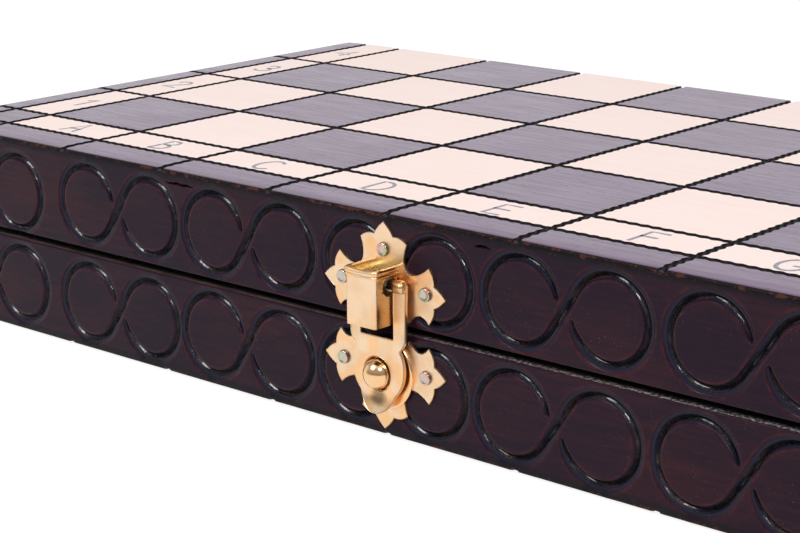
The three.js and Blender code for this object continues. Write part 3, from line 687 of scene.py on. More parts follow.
def cord_rows(wood, line, low, high, shares=CORD_STEPS):
    """Rows of points along one cord line, as (distance from zero across, along)."""
    stations = spaced(low, high, wood.cord_pitch / 7)
    return [(line + share * cord_half(wood, stations), stations) for share in shares]


DARK, LIGHT, GROOVE, WOOD, RIM_SLOT = range(5)


def face_slots(wood, u, v):
    """Material of each triangle of a playing face, by where its middle lies."""
    file = np.floor(u / SQUARE + FILES / 2).astype(int)
    rank = np.floor((v - RANK_LINES[1]) / SQUARE).astype(int)
    beside_squares = (file < 0) | (file >= FILES)
    framed = (np.abs(u) > SIDE - WALL) | (v < RANK_LINES[0])
    corner = beside_squares & (rank < 0)
    light = (beside_squares | (rank < 0) | ((file + rank) % 2 == 1)) & ~framed & ~corner
    slots = np.where(light, LIGHT, DARK)
    for lines, across, along in ((FILE_LINES, u, v), (RANK_LINES, v, u)):
        for line in lines:
            slots[np.abs(across - line) < cord_half(wood, along)] = GROOVE
    slots[(inset(u, v) < 0.5) & (slots != GROOVE)] = WOOD
    return slots


def add_face(soup, wood, flat, tris, run=lambda a, b: (a, b)):
    """Adds triangles of a playing face, with its relief; run maps them to the playing face."""
    u, v = run(flat[:, 0], flat[:, 1])
    height, crest, edge, shoulder = face_height(wood, u, v)
    slots = face_slots(wood, *run(*flat[np.array(tris)].mean(1).T))
    soup.add(np.column_stack([u, v, height]), tris, slots, crest=crest, edge=edge, shoulder=shoulder)


def build_panel(wood, name, materials, place):
    """The veneered playing panel of one half."""
    side, front = SIDE - WALL - JOINT_GAP, FRONT + WALL + JOINT_GAP
    beyond = 1.0
    lines = []
    for line in FILE_LINES:
        shares = CORD_STEPS if abs(line) < side else [s for s in CORD_STEPS if s * line < 0]
        for across, along in cord_rows(wood, line, front - beyond, FOLD + beyond, shares):
            lines.append(list(zip(across, along)))
    for line in RANK_LINES:
        shares = CORD_STEPS if line > front else [s for s in CORD_STEPS if s > 0]
        for across, along in cord_rows(wood, line, -side - beyond, side + beyond, shares):
            lines.append(list(zip(along, across)))
    lines += [[(-side - beyond, FOLD - e), (side + beyond, FOLD - e)] for e in (0.05, 0.2, FOLD_EASE)]
    step = wood.cord_pitch / 7
    outline = [(x, front) for x in spaced(-side, side, step)]
    outline += [(side, y) for y in spaced(front, FOLD, step)[1:]]
    outline += [(x, FOLD) for x in spaced(side, -side, step)[1:]]
    outline += [(-side, y) for y in spaced(FOLD, front, step)[1:-1]]
    soup = Soup()
    add_face(soup, wood, *triangulated([outline], lines))
    corners = [((x, y, 0), (x, y, -PANEL)) for x in (-side, side) for y in (front, FOLD)]
    return soup.build(name, materials, place, sharp=50, base=(corners, lambda _: WOOD))


# ---- Scroll carvings on the outer faces, as length along the face and height ----


CARVE_LEAN = 0.28
LEDGE_REACH = 1.04
CARVE_RINGS = (0.3, 0.58, 0.78, 0.92, 1.0, 1.16, 1.55)


def scroll_path(centre, level, radius, tilt, spread, turn=1):
    """Centre line of one scroll: an open ring, a slanting bar and a second open ring. tilt turns it
    a few degrees. The second value leans from 1 to -1, so that it names the rings' inner sides."""
    half = spread / 2
    slant = math.degrees(math.acos(radius / half))
    lower = math.tan(math.radians(tilt))
    reach = lambda at, degrees: (
        centre + turn * (at + radius * math.cos(math.radians(degrees))),
        level + at * lower + radius * math.sin(math.radians(degrees)))
    left = np.array([reach(-half, a) for a in spaced(14, 360 - slant, 5.5)])
    right = np.array([reach(half, a) for a in spaced(180 - slant, -166, 5.5)])
    bar = left[-1] + (right[0] - left[-1]) * spaced(0, 1, 0.09)[1:-1, None]
    leans = np.concatenate([np.ones(len(left)), np.linspace(1, -1, len(bar)), -np.ones(len(right))])
    return np.concatenate([left, bar, right]), turn * leans


def beside_path(path, distance):
    """Closed line at a distance round an open path; the distance may differ from point to point."""
    distance = np.broadcast_to(np.asarray(distance, float), (len(path),))[:, None]
    along = np.gradient(path, axis=0)
    along /= np.linalg.norm(along, axis=1)[:, None]
    across = np.column_stack([-along[:, 1], along[:, 0]])
    turn = np.linspace(0, np.pi, 8)[1:-1, None]
    far = path[-1] + distance[-1] * (np.cos(turn) * across[-1] + np.sin(turn) * along[-1])
    near = path[0] - distance[0] * (np.cos(turn) * across[0] + np.sin(turn) * along[0])
    return np.concatenate([path + distance * across, far, (path - distance * across)[::-1], near])


def tapered(path, tip=0.5, reach=7.0):
    """Share of the full width at each point of a scroll, which runs out thinner at both ends."""
    gone = np.concatenate([[0], np.cumsum(np.linalg.norm(np.diff(path, axis=0), axis=1))])
    left = np.minimum(gone, gone[-1] - gone) / reach
    return tip + (1 - tip) * np.sin(np.clip(left, 0, 1) * math.pi / 2)


def share_of(points, path, widths, leans):
    """Distance of points to a path of short stretches, as a share of its width there, and how far
    they lie to the left of the groove's deepest line, which leans to the left where leans are 1."""
    nearest, signed = np.full(len(points), 1e9), np.zeros(len(points))
    close = (np.abs(points[:, 0] - path[:, 0].mean()) < np.ptp(path[:, 0]) / 2 + 4)
    some, best, side = points[close], nearest[close], signed[close]
    for i, (a, b) in enumerate(zip(path[:-1], path[1:])):
        d = b - a
        t = np.clip((some - a) @ d / (d @ d), 0, 1)
        gap = some - a - t[:, None] * d
        share = np.hypot(gap[:, 0], gap[:, 1]) / (widths[i] + (widths[i + 1] - widths[i]) * t)
        better = share < best
        left = np.sign(d[0] * gap[:, 1] - d[1] * gap[:, 0])
        lean = CARVE_LEAN * (leans[i] + (leans[i + 1] - leans[i]) * t)
        side = np.where(better, share * left - lean, side)
        best = np.where(better, share, best)
    nearest[close], signed[close] = best, side
    return nearest, signed


def distance_to(points, path):
    """Distance of points to a path of short stretches."""
    return share_of(points, path, np.ones(len(path)), np.ones(len(path)))[0]


def gouge(share, lean):
    """Depth of a carved scroll as a share: a shallow ledge on the outer side, steep on the inner."""
    core = np.clip(1 - (lean / 0.66) ** 2, 0, 1) ** 0.8
    ledge = 0.3 * np.clip(1 - (share / LEDGE_REACH) ** 4, 0, 1)
    return np.maximum(core * np.clip((LEDGE_REACH - share) / 0.3, 0, 1), ledge)


def facing_up(points, tris):
    """How far an outer face looks up at each of its points, where the set stands shut."""
    corners = [points[tris[:, i]] for i in range(3)]
    normals = np.zeros_like(points)
    for i in range(3):
        np.add.at(normals, tris[:, i], np.cross(corners[1] - corners[0], corners[2] - corners[0]))
    outward = np.sign(normals.sum(0)[:2] @ points.mean(0)[:2])
    return outward * normals[:, 2] / np.maximum(np.linalg.norm(normals, axis=1), 1e-9)


# Each front rail's row of scrolls: its middle, its height, how much wider the circles are cut and
# how much lower the first scroll lies
ROWS = {"upper": (2.4, -13.8, 0, 1.0), "lower": (-1.0, -13.4, 0.25, 0)}
ROW_SHIFTS = {"upper": (-3.5, 1.1, 0.9, 0.9, 0.9, 0.9, 0.9), "lower": (0, 0, 0, -0.2, -1.2, -2.0, 2.0)}
NICKS = ((-73.7, -3.5, 10.0), (26.3, -3.4, 4.8))


def build_rail(wood, name, materials, place, side, scrolls, nicks=()):
    """One outer rail: its strip of the playing face and its carved outer face. side is 0 for the
    front rail, and -1 or 1 for the rail at that end of the playing face; the front rail is mitred
    at both ends and the others at the front only. nicks are short scars, as (at, height, length)."""
    front = side == 0
    start, end = (-SIDE, SIDE) if front else (FRONT, FOLD)
    crossing = FILE_LINES if front else RANK_LINES
    run = (lambda s, q: (s, FRONT + q)) if front else (lambda s, q: (side * (SIDE - q), s))
    inner = WALL - JOINT_GAP
    tuck = CORNER * (1 - math.sqrt(0.5))
    first, last = start + tuck, end - tuck if front else end

    def fall(s):
        """How far the outer face falls back at its rounded, mitred ends."""
        gap = np.minimum(s - start, end - s) if front else s - start
        into = np.clip(CORNER - gap, 0, CORNER)
        return CORNER - np.sqrt(CORNER ** 2 - into ** 2)

    # The outer edge, shared by the playing face and the outer face
    rounded = [start + x for x in ROUND_STEPS] + ([end - x for x in ROUND_STEPS] if front else [])
    stations = list(spaced(first, last, 2.2)) + rounded
    for line in crossing:
        swell = float(cord_half(wood, run(line, 0)[1 if front else 0]))
        stations = [s for s in stations if abs(s - line) > swell * 1.4]
        stations += [line + share * swell for share in CORD_STEPS]
    stations = np.array(sorted(stations))
    edge = np.column_stack([stations, fall(stations)])
    edge_height = face_height(wood, *run(edge[:, 0], edge[:, 1]))[0]

    soup = Soup()
    wide = SHOULDER["front" if front else "side"][0]
    depths = (0.1, 0.25, 0.5, ARRIS, *spaced(ARRIS, wide, 0.9)[1:])
    lines = [list(zip(stations, edge[:, 1] + depth)) for depth in depths]
    for line in crossing:
        for share in CORD_STEPS:
            q = spaced(0, WALL + 1, wood.cord_pitch / 7)
            u, v = run(line + 0 * q, q)
            lines.append(list(zip(line + share * cord_half(wood, v if front else u), q)))
    joint = RANK_LINES[0] - FRONT if front else WALL
    for across, along in cord_rows(wood, joint, start, end + 1, (-1.25, -1.0, -0.72, -0.36)):
        lines.append(list(zip(along, across)))
    low = start + inner
    high = end - inner if front else end
    back = [(s, inner) for s in spaced(high, low, wood.cord_pitch / 7)]
    add_face(soup, wood, *triangulated([[*map(tuple, edge), *back]], lines), run)

    # The outer face
    base = -RIM
    low_edge = edge_height.min() - 0.12
    sill = [(s, base) for s in spaced(last, first, 2.0)]
    levels = (low_edge, low_edge - 0.5, base + 0.12, base + 0.28, base + RIM_EASE, base + 1.1)
    lines = [[(first - 1, h), (last + 1, h)] for h in levels]
    lines += [[(s, low_edge), (s, base - 1)] for s in rounded]
    paths = [scroll_path(*scroll, wood.scroll_spread, turn=-1 if side < 0 else 1) for scroll in scrolls]
    cuts = [(path, wood.carve_half * tapered(path), leans) for path, leans in paths]
    for at, height, long in nicks:
        s = spaced(at, at + long, 0.5)
        path = np.column_stack([s, height + 0.15 * ripple(s, at, 1.5)])
        cuts.append((path, 0.42 * tapered(path, 0.2, long / 2), 0 * s))
    for path, widths, _ in cuts:
        lines.append(path)
        for share in CARVE_RINGS:
            ring = beside_path(path, share * widths)
            ring[:, 1] = np.clip(ring[:, 1], base + 0.07, low_edge)
            lines.append(np.concatenate([ring, ring[:1]]))
    flat, tris = triangulated([[*zip(stations, edge_height), *sill]], lines)
    s, h = flat.T
    share, lean = np.full(len(flat), 1e9), np.zeros(len(flat))
    for path, widths, leans in cuts:
        near, signed = share_of(flat, path, widths, leans)
        lean = np.where(near < share, signed, lean)
        share = np.minimum(share, near)
    uneven = 1 + 0.08 * ripple(s + h, 2.0, 7)
    carve = gouge(share, lean)
    eased = np.clip(1 - (h - base) / RIM_EASE, 0, 1)
    depth = fall(s) + carve * wood.carve_depth * uneven + RIM_EASE * (1 - np.sqrt(1 - eased ** 2))
    halo = np.clip((1.5 - share) / 0.35, 0, 1) * (share > 1.0)
    top = np.interp(s, stations, edge_height)
    rubbed = np.clip(1 - (top - h) / 0.9, 0, 1) * 0.95
    rubbed = np.maximum(rubbed, np.clip(1 - (h - base) / 0.7, 0, 1) * 0.45)
    u, v = run(s, depth)
    outer = np.column_stack([u, v, h])
    # How far each point faces up; the carving's coat is kept to these places, a painted sheen.
    pooled = np.clip(0.1 + 2.2 * facing_up(place(outer), np.asarray(tris)), 0, 1)
    soup.add(outer, tris, WOOD, carve=carve, halo=halo, edge=rubbed, pooled=pooled)

    at = lambda s, q, h: (*run(s, q), h)
    foot_q = fall(np.array([first]))[0] + RIM_EASE
    corners = [
        (at(first, foot_q, base), at(low, inner, base)),
        (at(low, inner, 0), at(low, inner, base)),
        (at(high, inner, 0), at(high, inner, base)),
        (at(last, foot_q if front else RIM_EASE, base), at(high, inner, base)),
    ]
    rim = place(np.array([[0, 0, base]], float))[0][2]
    slot_of = lambda side: RIM_SLOT if all(abs(c[2] / MM - rim) < 0.001 for c in side) else WOOD
    return soup.build(name, materials, place, sharp=42, base=(corners, slot_of))


# ---- Letters and numbers ----


def bend(cx, cy, rx, ry, first, last):
    """Points of an arc, in shares of a letter's height."""
    return [(cx + rx * math.cos(math.radians(a)), cy + ry * math.sin(math.radians(a)))
            for a in spaced(first, last, 14)]


GLYPHS = {
    "A": [[(0, 0), (0.28, 1), (0.56, 0)], [(0.09, 0.33), (0.47, 0.33)]],
    "B": [[(0.02, 0), (0.02, 1), *bend(0.2, 0.76, 0.22, 0.24, 90, -90), (0.02, 0.52)],
          [*bend(0.22, 0.26, 0.27, 0.26, 90, -90), (0.02, 0)]],
    "C": [bend(0.33, 0.5, 0.33, 0.5, 48, 312)],
    "D": [[(0.02, 0), (0.02, 1), *bend(0.16, 0.5, 0.42, 0.5, 90, -90), (0.02, 0)]],
    "E": [[(0.5, 1), (0.02, 1), (0.02, 0), (0.52, 0)], [(0.02, 0.53), (0.46, 0.53)]],
    "F": [[(0.5, 1), (0.02, 1), (0.02, 0)], [(0.02, 0.53), (0.44, 0.53)]],
    "G": [[*bend(0.35, 0.5, 0.35, 0.5, 48, 350), (0.69, 0.45), (0.42, 0.45)]],
    "H": [[(0.02, 0), (0.02, 1)], [(0.56, 0), (0.56, 1)], [(0.02, 0.52), (0.56, 0.52)]],
    "1": [[(0.08, 0.78), (0.3, 1), (0.3, 0)]],
    "2": [[*bend(0.27, 0.74, 0.25, 0.26, 165, -35), (0.0, 0), (0.54, 0)]],
    "3": [[*bend(0.25, 0.76, 0.23, 0.24, 150, -90)], [*bend(0.25, 0.26, 0.27, 0.26, 90, -150)]],
    "4": [[(0.42, 0), (0.42, 1), (0, 0.3), (0.58, 0.3)]],
    "5": [[(0.5, 1), (0.08, 1), (0.05, 0.56), *bend(0.26, 0.31, 0.27, 0.31, 125, -150)]],
    "6": [[(0.42, 1), *bend(0.28, 0.3, 0.27, 0.3, 160, 360 + 158)]],
    "7": [[(0, 1), (0.52, 1), (0.2, 0)]],
    "8": [[*bend(0.27, 0.76, 0.22, 0.24, -90, 270)], [*bend(0.27, 0.26, 0.27, 0.26, 90, 450)]],
}
INK_FILM = 0.03
LETTER_SHIFTS = (
    (2.1, 1.2), (0.4, 0.5), (0.3, 0), (0.6, 0.1), (-0.2, 0), (2.4, 0.2), (0.4, 0), (-0.3, 0.3))


def add_glyph(soup, wood, glyph, middle, turned):
    """One letter as thin strokes of ink, standing just proud of the playing face."""
    strokes = GLYPHS[glyph]
    wide = max(x for line in strokes for x, _ in line)
    way = -1 if turned else 1
    for line in strokes:
        path = [np.array([x - wide / 2, y - 0.5]) * wood.letter_height * way + middle for x, y in line]
        path = np.array([p for i, p in enumerate(path) if i == 0 or np.hypot(*(p - path[i - 1])) > 0.02])
        ring = beside_path(path, wood.letter_stroke / 2)
        flat, tris = triangulated([ring])
        top = np.column_stack([flat, np.full(len(flat), INK_FILM)])
        soup.add(top, tris)
        soup.add(top * (1, 1, -1), tris)
        band = np.column_stack([ring, np.full(len(ring), INK_FILM)])
        soup.strip(band, band * (1, 1, -1), closed=True)


def build_lettering(wood, name, material, place, upper):
    """The letters along the front and the numbers at both ends of a half."""
    soup = Soup()
    files = "ABCDEFGH" if upper else "HGFEDCBA"
    ranks = "1234" if upper else "8765"
    low = RANK_LINES[1] - LABEL * 0.545
    for i, letter in enumerate(files):
        middle = np.array([(i - FILES / 2 + 0.5) * SQUARE, low]) + LETTER_SHIFTS[i]
        add_glyph(soup, wood, letter, middle, False)
    column = FILES / 2 * SQUARE + LABEL / 2
    for i, number in enumerate(ranks):
        for side in (-1, 1):
            middle = np.array([side * column + 0.4 * math.sin(4 * i), RANK_LINES[1] + (i + 0.5) * SQUARE])
            add_glyph(soup, wood, number, middle, side > 0)
    return soup.build(name, [material], place)


# ---- Sheet metal and turned work ----


def smooth_line(points, steps=5, closed=False):
    """A Catmull-Rom curve through the points."""
    points = np.asarray(points, float)
    if closed:
        ends = np.concatenate([points[-1:], points, points[:2]])
    else:
        ends = np.concatenate([2 * points[:1] - points[1:2], points, 2 * points[-1:] - points[-2:-1]])
    line = []
    for a, b, c, d in zip(ends, ends[1:], ends[2:], ends[3:]):
        for t in np.arange(steps) / steps:
            line.append(0.5 * (2 * b + (c - a) * t + (2 * a - 5 * b + 4 * c - d) * t * t
                               + (3 * b - a - 3 * c + d) * t ** 3))
    return np.array(line if closed else [*line, points[-1]])


def curve(*points, steps=7):
    """A Bezier curve through its end points, without the first point."""
    n = len(points) - 1
    share = np.arange(1, steps + 1) / steps
    weights = [math.comb(n, k) * (1 - share) ** (n - k) * share ** k for k in range(n + 1)]
    return [tuple(p) for p in np.transpose(weights) @ np.array(points, float)]


def circle(centre, radius, sides, clockwise=False):
    turn = np.arange(sides) * 2 * np.pi / sides * (-1 if clockwise else 1)
    return np.column_stack([centre[0] + radius * np.cos(turn), centre[1] + radius * np.sin(turn)])


def inward(ring, distance):
    """A closed outline moved into its material, which lies to the left of it."""
    ring = np.asarray(ring, float)
    ahead = np.roll(ring, -1, 0) - ring
    ahead /= np.linalg.norm(ahead, axis=1)[:, None]
    normals = np.column_stack([-ahead[:, 1], ahead[:, 0]])
    both = np.roll(normals, 1, 0) + normals
    scale = np.maximum(1 + (np.roll(normals, 1, 0) * normals).sum(1), 0.35)
    return ring + distance * both / scale[:, None]


def counter(ring, clockwise=False):
    """The outline, turned so that its material lies to the left of it."""
    ring = np.asarray(ring, float)
    x, y = ring.T
    area = (x * np.roll(y, -1) - y * np.roll(x, -1)).sum()
    return ring if (area > 0) != clockwise else ring[::-1]


# Steps across the front edge of a sheet, as shares of its ease: (inwards, down)
EASE_STEPS = ((0, 0), (0.38, 0.08), (0.7, 0.3), (0.92, 0.62), (1, 1))


def add_sheet(soup, outline, holes, back, front, ease, place, loose=(), relief=None, back_ease=0.0):
    """A sheet between two distances out. place maps (across, up, out); relief(across, up) moves both
    faces outwards."""
    rings = [counter(outline)] + [counter(hole, True) for hole in holes]
    relief = relief or (lambda x, y: 0 * x)

    def laid(flat, out):
        return place(np.column_stack([flat, out + relief(*flat.T)]))

    for ring in rings:
        rows = [(ring, back + back_ease)]
        if back_ease:
            part = back_ease * 0.3
            rows = [(inward(ring, back_ease), back), (inward(ring, part), back + part), *rows]
        rows += [(inward(ring, ease * in_), front - ease * down) for in_, down in EASE_STEPS]
        for (low, a), (high, b) in zip(rows, rows[1:]):
            soup.strip(laid(low, a), laid(high, b), closed=True)
    for shift, out in ((ease, front), (back_ease, back)):
        inner = [inward(ring, shift) for ring in rings]
        inside = np.asarray(loose, float)[within(np.asarray(loose, float), inner)] if len(loose) else ()
        flat, tris = triangulated(inner, (), inside)
        soup.add(laid(flat, out), tris)


def add_turned(soup, profile, place, sides=32, slot=0):
    """A turned solid from (radius, height) stations; place maps (x, y, height). slot is one number,
    or one for each band."""
    around = circle((0, 0), 1, sides)
    rows = [place(np.column_stack([r * around, np.full(sides, h)])) for r, h in profile]
    for i, (low, high) in enumerate(zip(rows, rows[1:])):
        soup.strip(low, high, slot[i] if isinstance(slot, (list, tuple)) else slot, closed=True)


# ---- Clasp, as (across, up from the parting plane, out from the wood) ----


def on_clasp(points):
    x, up, out = np.asarray(points, float).T
    return np.column_stack([x, FRONT - out, PARTING + up])


def under_clasp(points):
    """The same for the lower plate, which is turned over."""
    return on_clasp(np.asarray(points, float) * (1, -1, 1))


SIDE_LOBE = dict(shoulder=13.6, notch=15.2, tip=18.6, half=6.65, notch_half=2.6)
TOP_LOBE = dict(shoulder=20.6, notch=21.8, tip=25.0, half=7.05, notch_half=2.9)
LOBE_AXIS = 9.5
PLATE_FOOT = (7.8, 2.2)
STUD = 10.9
BALL = 3.75
PIVOT_OUT = 2.6
PIVOT_UP = 11.0
HOOD_HALF = 4.6
HOOD_OUT = 8.6
HOOD_FOOT = 1.8
HOOD_SHEET = 0.5
HOOD_CORNER = 0.75
EAR_HOLE = 2.3
EAR_HOLE_OUT = 3.7
SHEET_BACK = 0.03
SHEET_EASE = 0.14
HASP_BACK = 2.2
HASP_FRONT = 3.0


def lobe(shoulder, notch, tip, half, notch_half):
    """A leaf lobe as (along, across), from one shoulder over the tip to the other."""
    start, dip, point = (shoulder, half), (notch, notch_half), (tip, 0)
    line = curve(start, ((shoulder + notch) / 2 + 1.0, (half + notch_half) / 2), dip)
    line += curve(dip, ((notch + tip) / 2, notch_half / 2 + 0.6), point)
    return [start, *line, *[(a, -b) for a, b in line[-2::-1]], (shoulder, -half)]


def trefoil():
    """A clasp plate's outline, from its foot round the three lobes."""
    side, top = lobe(**SIDE_LOBE), lobe(**TOP_LOBE)
    right = [(a, LOBE_AXIS - b) for a, b in side]
    crown = [(b, a) for a, b in top]
    line = [PLATE_FOOT, *curve(PLATE_FOOT, (10.9, 6.4), right[0])[:-1], *right]
    line += curve(right[-1], (8.8, 11.6), (4.2, 13.9), crown[0], steps=12)[:-1]
    return mirrored(line + crown[:len(crown) // 2 + 1])


def mirrored(line):
    """A closed outline from its right half, which ends on the middle line."""
    return np.array(line + [(-x, y) for x, y in line[-2::-1]])


def recessed_foot(outline):
    """The outline with its foot cut back a little where the hasp's window lies over it."""
    return np.concatenate([outline, [(-7.5, 2.2), (-7.2, 3.4), (7.2, 3.4), (7.5, 2.2)]])


def hammered(seed):
    """A slight unevenness of pressed sheet."""
    return lambda x, y: 0.035 * (
        ripple(x, seed, 6) + ripple(y, seed + 1, 5) * 0.8 + ripple(x + y, seed + 2, 3.2) * 0.4)


def grid_points(low_x, high_x, low_y, high_y, step):
    x, y = np.meshgrid(spaced(low_x, high_x, step), spaced(low_y, high_y, step))
    x = x + (np.arange(x.shape[0]) % 2)[:, None] * step / 2
    return np.column_stack([x.ravel(), y.ravel()])


def hood_section(lip):
    """Stations of the hood's skin, as (height, how far out) from its foot over the ridged lip."""
    rows = [(HOOD_FOOT, 0.0), (HOOD_FOOT + 0.5, -0.04)]
    rows += [(h, -0.05 * math.sin((h - HOOD_FOOT) / 11 * math.pi)) for h in spaced(3.2, 12.0, 0.8)]
    ridges = (
        (12.5, 0.0), (12.9, 0.0), (13.25, 0.1), (13.45, 0.45), (13.7, 0.75), (13.95, 0.62), (14.1, 0.3),
        (14.25, 0.4), (14.45, 0.8), (14.8, 1.05), (15.15, 0.95), (15.42, 0.55), (15.57, 0.05))
    rows += [(h, lip * share) for h, share in ridges]
    return np.array(rows + [(15.58, -0.25), (15.46, -0.5), (15.2, -0.72)])


# Slots of the clasp plate; SIDES, INSIDE and ROOF hold painted shade on the hood.
BRASS, WARM, SIDES, INSIDE, ROOF = range(5)
ROOF_DISH = 1.0


def dished(gap):
    """How deep the hood's roof is pressed in, by the distance from its lip."""
    return ROOF_DISH * (1 - np.exp(-(gap / 1.1) ** 1.5))


def build_hood(soup, lip):
    """The hood: two side walls, a front wall, a ridged lip and a dished roof, in one sheet."""
    rear, root = 1.0, 0.42
    arc = HOOD_CORNER * math.pi / 2
    deep, wide = HOOD_OUT - HOOD_CORNER, HOOD_HALF - HOOD_CORNER
    lengths = np.cumsum([0, deep, arc, 2 * wide, arc, deep])
    total = lengths[-1]
    section = hood_section(lip)
    steps = np.concatenate([[0], np.cumsum(np.linalg.norm(np.diff(section, axis=0), axis=1))])
    tangent = np.gradient(section, steps, axis=0)
    tangent /= np.linalg.norm(tangent, axis=1)[:, None]
    walls = section[:, 0] < 13
    at_height = lambda level: float(np.interp(level, section[walls, 0], steps[walls]))
    free, top = at_height(12.6), steps[-1]

    def path(t):
        """Place round the walls and the outward direction there."""
        x, out, nx, no = (np.zeros_like(t) for _ in range(4))
        for i in range(5):
            here = (t >= lengths[i] - 1e-9) & (t <= lengths[i + 1] + 1e-9)
            d = t[here] - lengths[i]
            side = -1 if i < 2 else 1
            if i in (0, 4):
                x[here], out[here] = side * HOOD_HALF, d if i == 0 else deep - d
                nx[here], no[here] = side, 0
            elif i == 2:
                x[here], out[here], nx[here], no[here] = -wide + d, HOOD_OUT, 0, 1
            else:
                turn = d / HOOD_CORNER if i == 1 else math.pi / 2 - d / HOOD_CORNER
                nx[here], no[here] = side * np.cos(turn), np.sin(turn)
                x[here], out[here] = side * wide + HOOD_CORNER * nx[here], deep + HOOD_CORNER * no[here]
        return x, out, nx, no

    def skin(flat, depth):
        """Places on the skin as (across, up, out)."""
        t, v = np.asarray(flat, float).T
        x, out, nx, no = path(t)
        h, o = (np.interp(v, steps, column) for column in section.T)
        rise, lean = (np.interp(v, steps, column) for column in tangent.T)
        h, o = h + depth * lean, np.maximum(o - depth * rise, -HOOD_CORNER)
        sag = 0.45 * np.clip((v - free) / (top - free), 0, 1) * np.clip(no, 0, 1)
        sag = sag * np.cos(x / HOOD_HALF * math.pi / 2)
        return np.column_stack([x + nx * o, h - sag, out + no * o])

    columns = {rear, total - rear}
    for i, step in enumerate((0.7, 0.19, 0.7, 0.19, 0.7)):
        stretch = spaced(lengths[i], lengths[i + 1], step)
        columns |= {round(t, 3) for t in stretch if rear < t < total - rear}
    columns = sorted(columns)
    right = [v for v in steps[1:] if v < free - 0.3]
    above = [v for v in steps if v > free + 0.05]
    outline = [(t, 0.0) for t in columns] + [(total - rear, v) for v in right]
    outline += [(total - rear, free), (total - root, free)] + [(total - root, v) for v in above]
    outline += [(t, top) for t in columns[::-1]] + [(root, v) for v in above[::-1]]
    outline += [(root, free), (rear, free)] + [(rear, v) for v in right[::-1]]
    ends = (EAR_HOLE_OUT, total - EAR_HOLE_OUT)
    holes = [circle((end, at_height(PIVOT_UP)), EAR_HOLE, 28, True) for end in ends]
    lines = [[(root - 0.2, v), (total - root + 0.2, v)] for v in steps[1:-1]]
    lines += [[(t, -0.2), (t, top + 0.2)] for t in columns]
    flat, tris = triangulated([outline, *holes], lines)
    middles = flat[np.array(tris)].mean(1)
    # Painted shade: the side walls and the sheet's edges take the darker brass, and the inner skin a
    # near-black finish.
    sides = np.where((middles[:, 0] < deep) | (middles[:, 0] > total - deep), SIDES, BRASS)
    for depth, slots in ((0.0, sides), (HOOD_SHEET, INSIDE)):
        soup.add(on_clasp(skin(flat, depth)), tris, slots)
    for ring in (outline, *holes):
        ring = np.array([p for p in ring if abs(p[1] - top) > 1e-6 or p[0] in (root, total - root)])
        at_top = np.abs(ring[:, 1] - top) < 1e-6
        ring = np.roll(ring, -int(np.argmax(at_top & (ring[:, 0] < total / 2))), 0)
        edges = [on_clasp(skin(ring, depth)) for depth in (0.0, HOOD_SHEET)]
        soup.strip(*edges, SIDES, closed=not at_top.any())

    # The dished roof behind the lip
    brims = []
    # Painted shade: the roof takes a dull dark brass, and its underside the near-black finish.
    for depth, slot in ((0.0, ROOF), (HOOD_SHEET, INSIDE)):
        ring = skin([(root, top), *[(t, top) for t in columns], (total - root, top)], depth)
        rim = np.array([ring[0]] + [b for a, b in zip(ring, ring[1:]) if math.dist(a, b) > 0.02])
        behind = rim[-1] + (rim[0] - rim[-1]) * spaced(0, 1, 0.08)[1:-1, None]
        seam, level = rim[:, [0, 2]], rim[:, 1].mean()
        edge = np.concatenate([seam, behind[:, [0, 2]]])
        grid = grid_points(-HOOD_HALF, HOOD_HALF, root, HOOD_OUT, 0.45)
        grid = grid[within(grid, [edge])]
        flat, tris = triangulated([edge], (), grid[distance_to(grid, seam) > 0.2])
        known = {(round(p[0], 3), round(p[2], 3)): p[1] for p in rim}
        pressed = level - dished(distance_to(flat, seam))
        height = [known.get((round(p[0], 3), round(p[1], 3)), h) for p, h in zip(flat, pressed)]
        soup.add(on_clasp(np.column_stack([flat[:, 0], height, flat[:, 1]])), tris, slot)
        behind[:, 1] = level - dished(distance_to(behind[:, [0, 2]], seam))
        brims.append(on_clasp([rim[-1], *behind, rim[0]]))
    soup.strip(*brims, SIDES)


ARM_INNER = 5.05
ARM_WIDE = 3.4


def hasp_outline():
    """The hasp flat: round the ear, down the arm, over the tongue's shoulder and to its tip."""
    outer, ear, end = ARM_INNER + ARM_WIDE, ARM_WIDE / 2, (0, -20.2)
    shoulder, waist = (6.8, -4.5), (5.4, -15.6)
    half = [(ARM_INNER - 0.25, -1.8), (ARM_INNER, -1.55)]
    half += [
        (ARM_INNER + ear - ear * math.cos(a), PIVOT_UP + ear * math.sin(a))
        for a in spaced(0, math.pi, 0.26)]
    half += [(outer, -1.9), *curve((outer, -1.9), (outer - 0.3, -3.1), shoulder, steps=5)]
    half += curve(shoulder, (8.7, -8.0), (8.5, -12.6), waist, steps=16)
    half += curve(waist, (3.4, -20.5), end, steps=12)
    return mirrored(half)


def hasp_relief(dish):
    """The hasp's face: dished round its rim, scooped at the thumb and curled at the tip."""
    def relief(x, up):
        from_ball = np.hypot(x, up + STUD)
        rim = np.clip((from_ball - 4.6) / 3.3, 0, 1) * np.clip((-3.6 - up) / 2.5, 0, 1)
        thumb = np.exp(-((x / 3.8) ** 2 + ((up + 16.8) / 2.3) ** 2))
        tilt = 0.15 * np.clip(np.abs(x) - ARM_INNER, 0, ARM_WIDE) * np.clip((up + 3) / 3, 0, 1)
        curl = np.clip((-14.6 - up) / 5.6, 0, 1)
        drop = -dish * rim ** 1.5 * (1 - 0.8 * np.clip((-13 - up) / 4, 0, 1))
        return drop - 0.5 * thumb - tilt + 1.5 * curl ** 2
    return relief


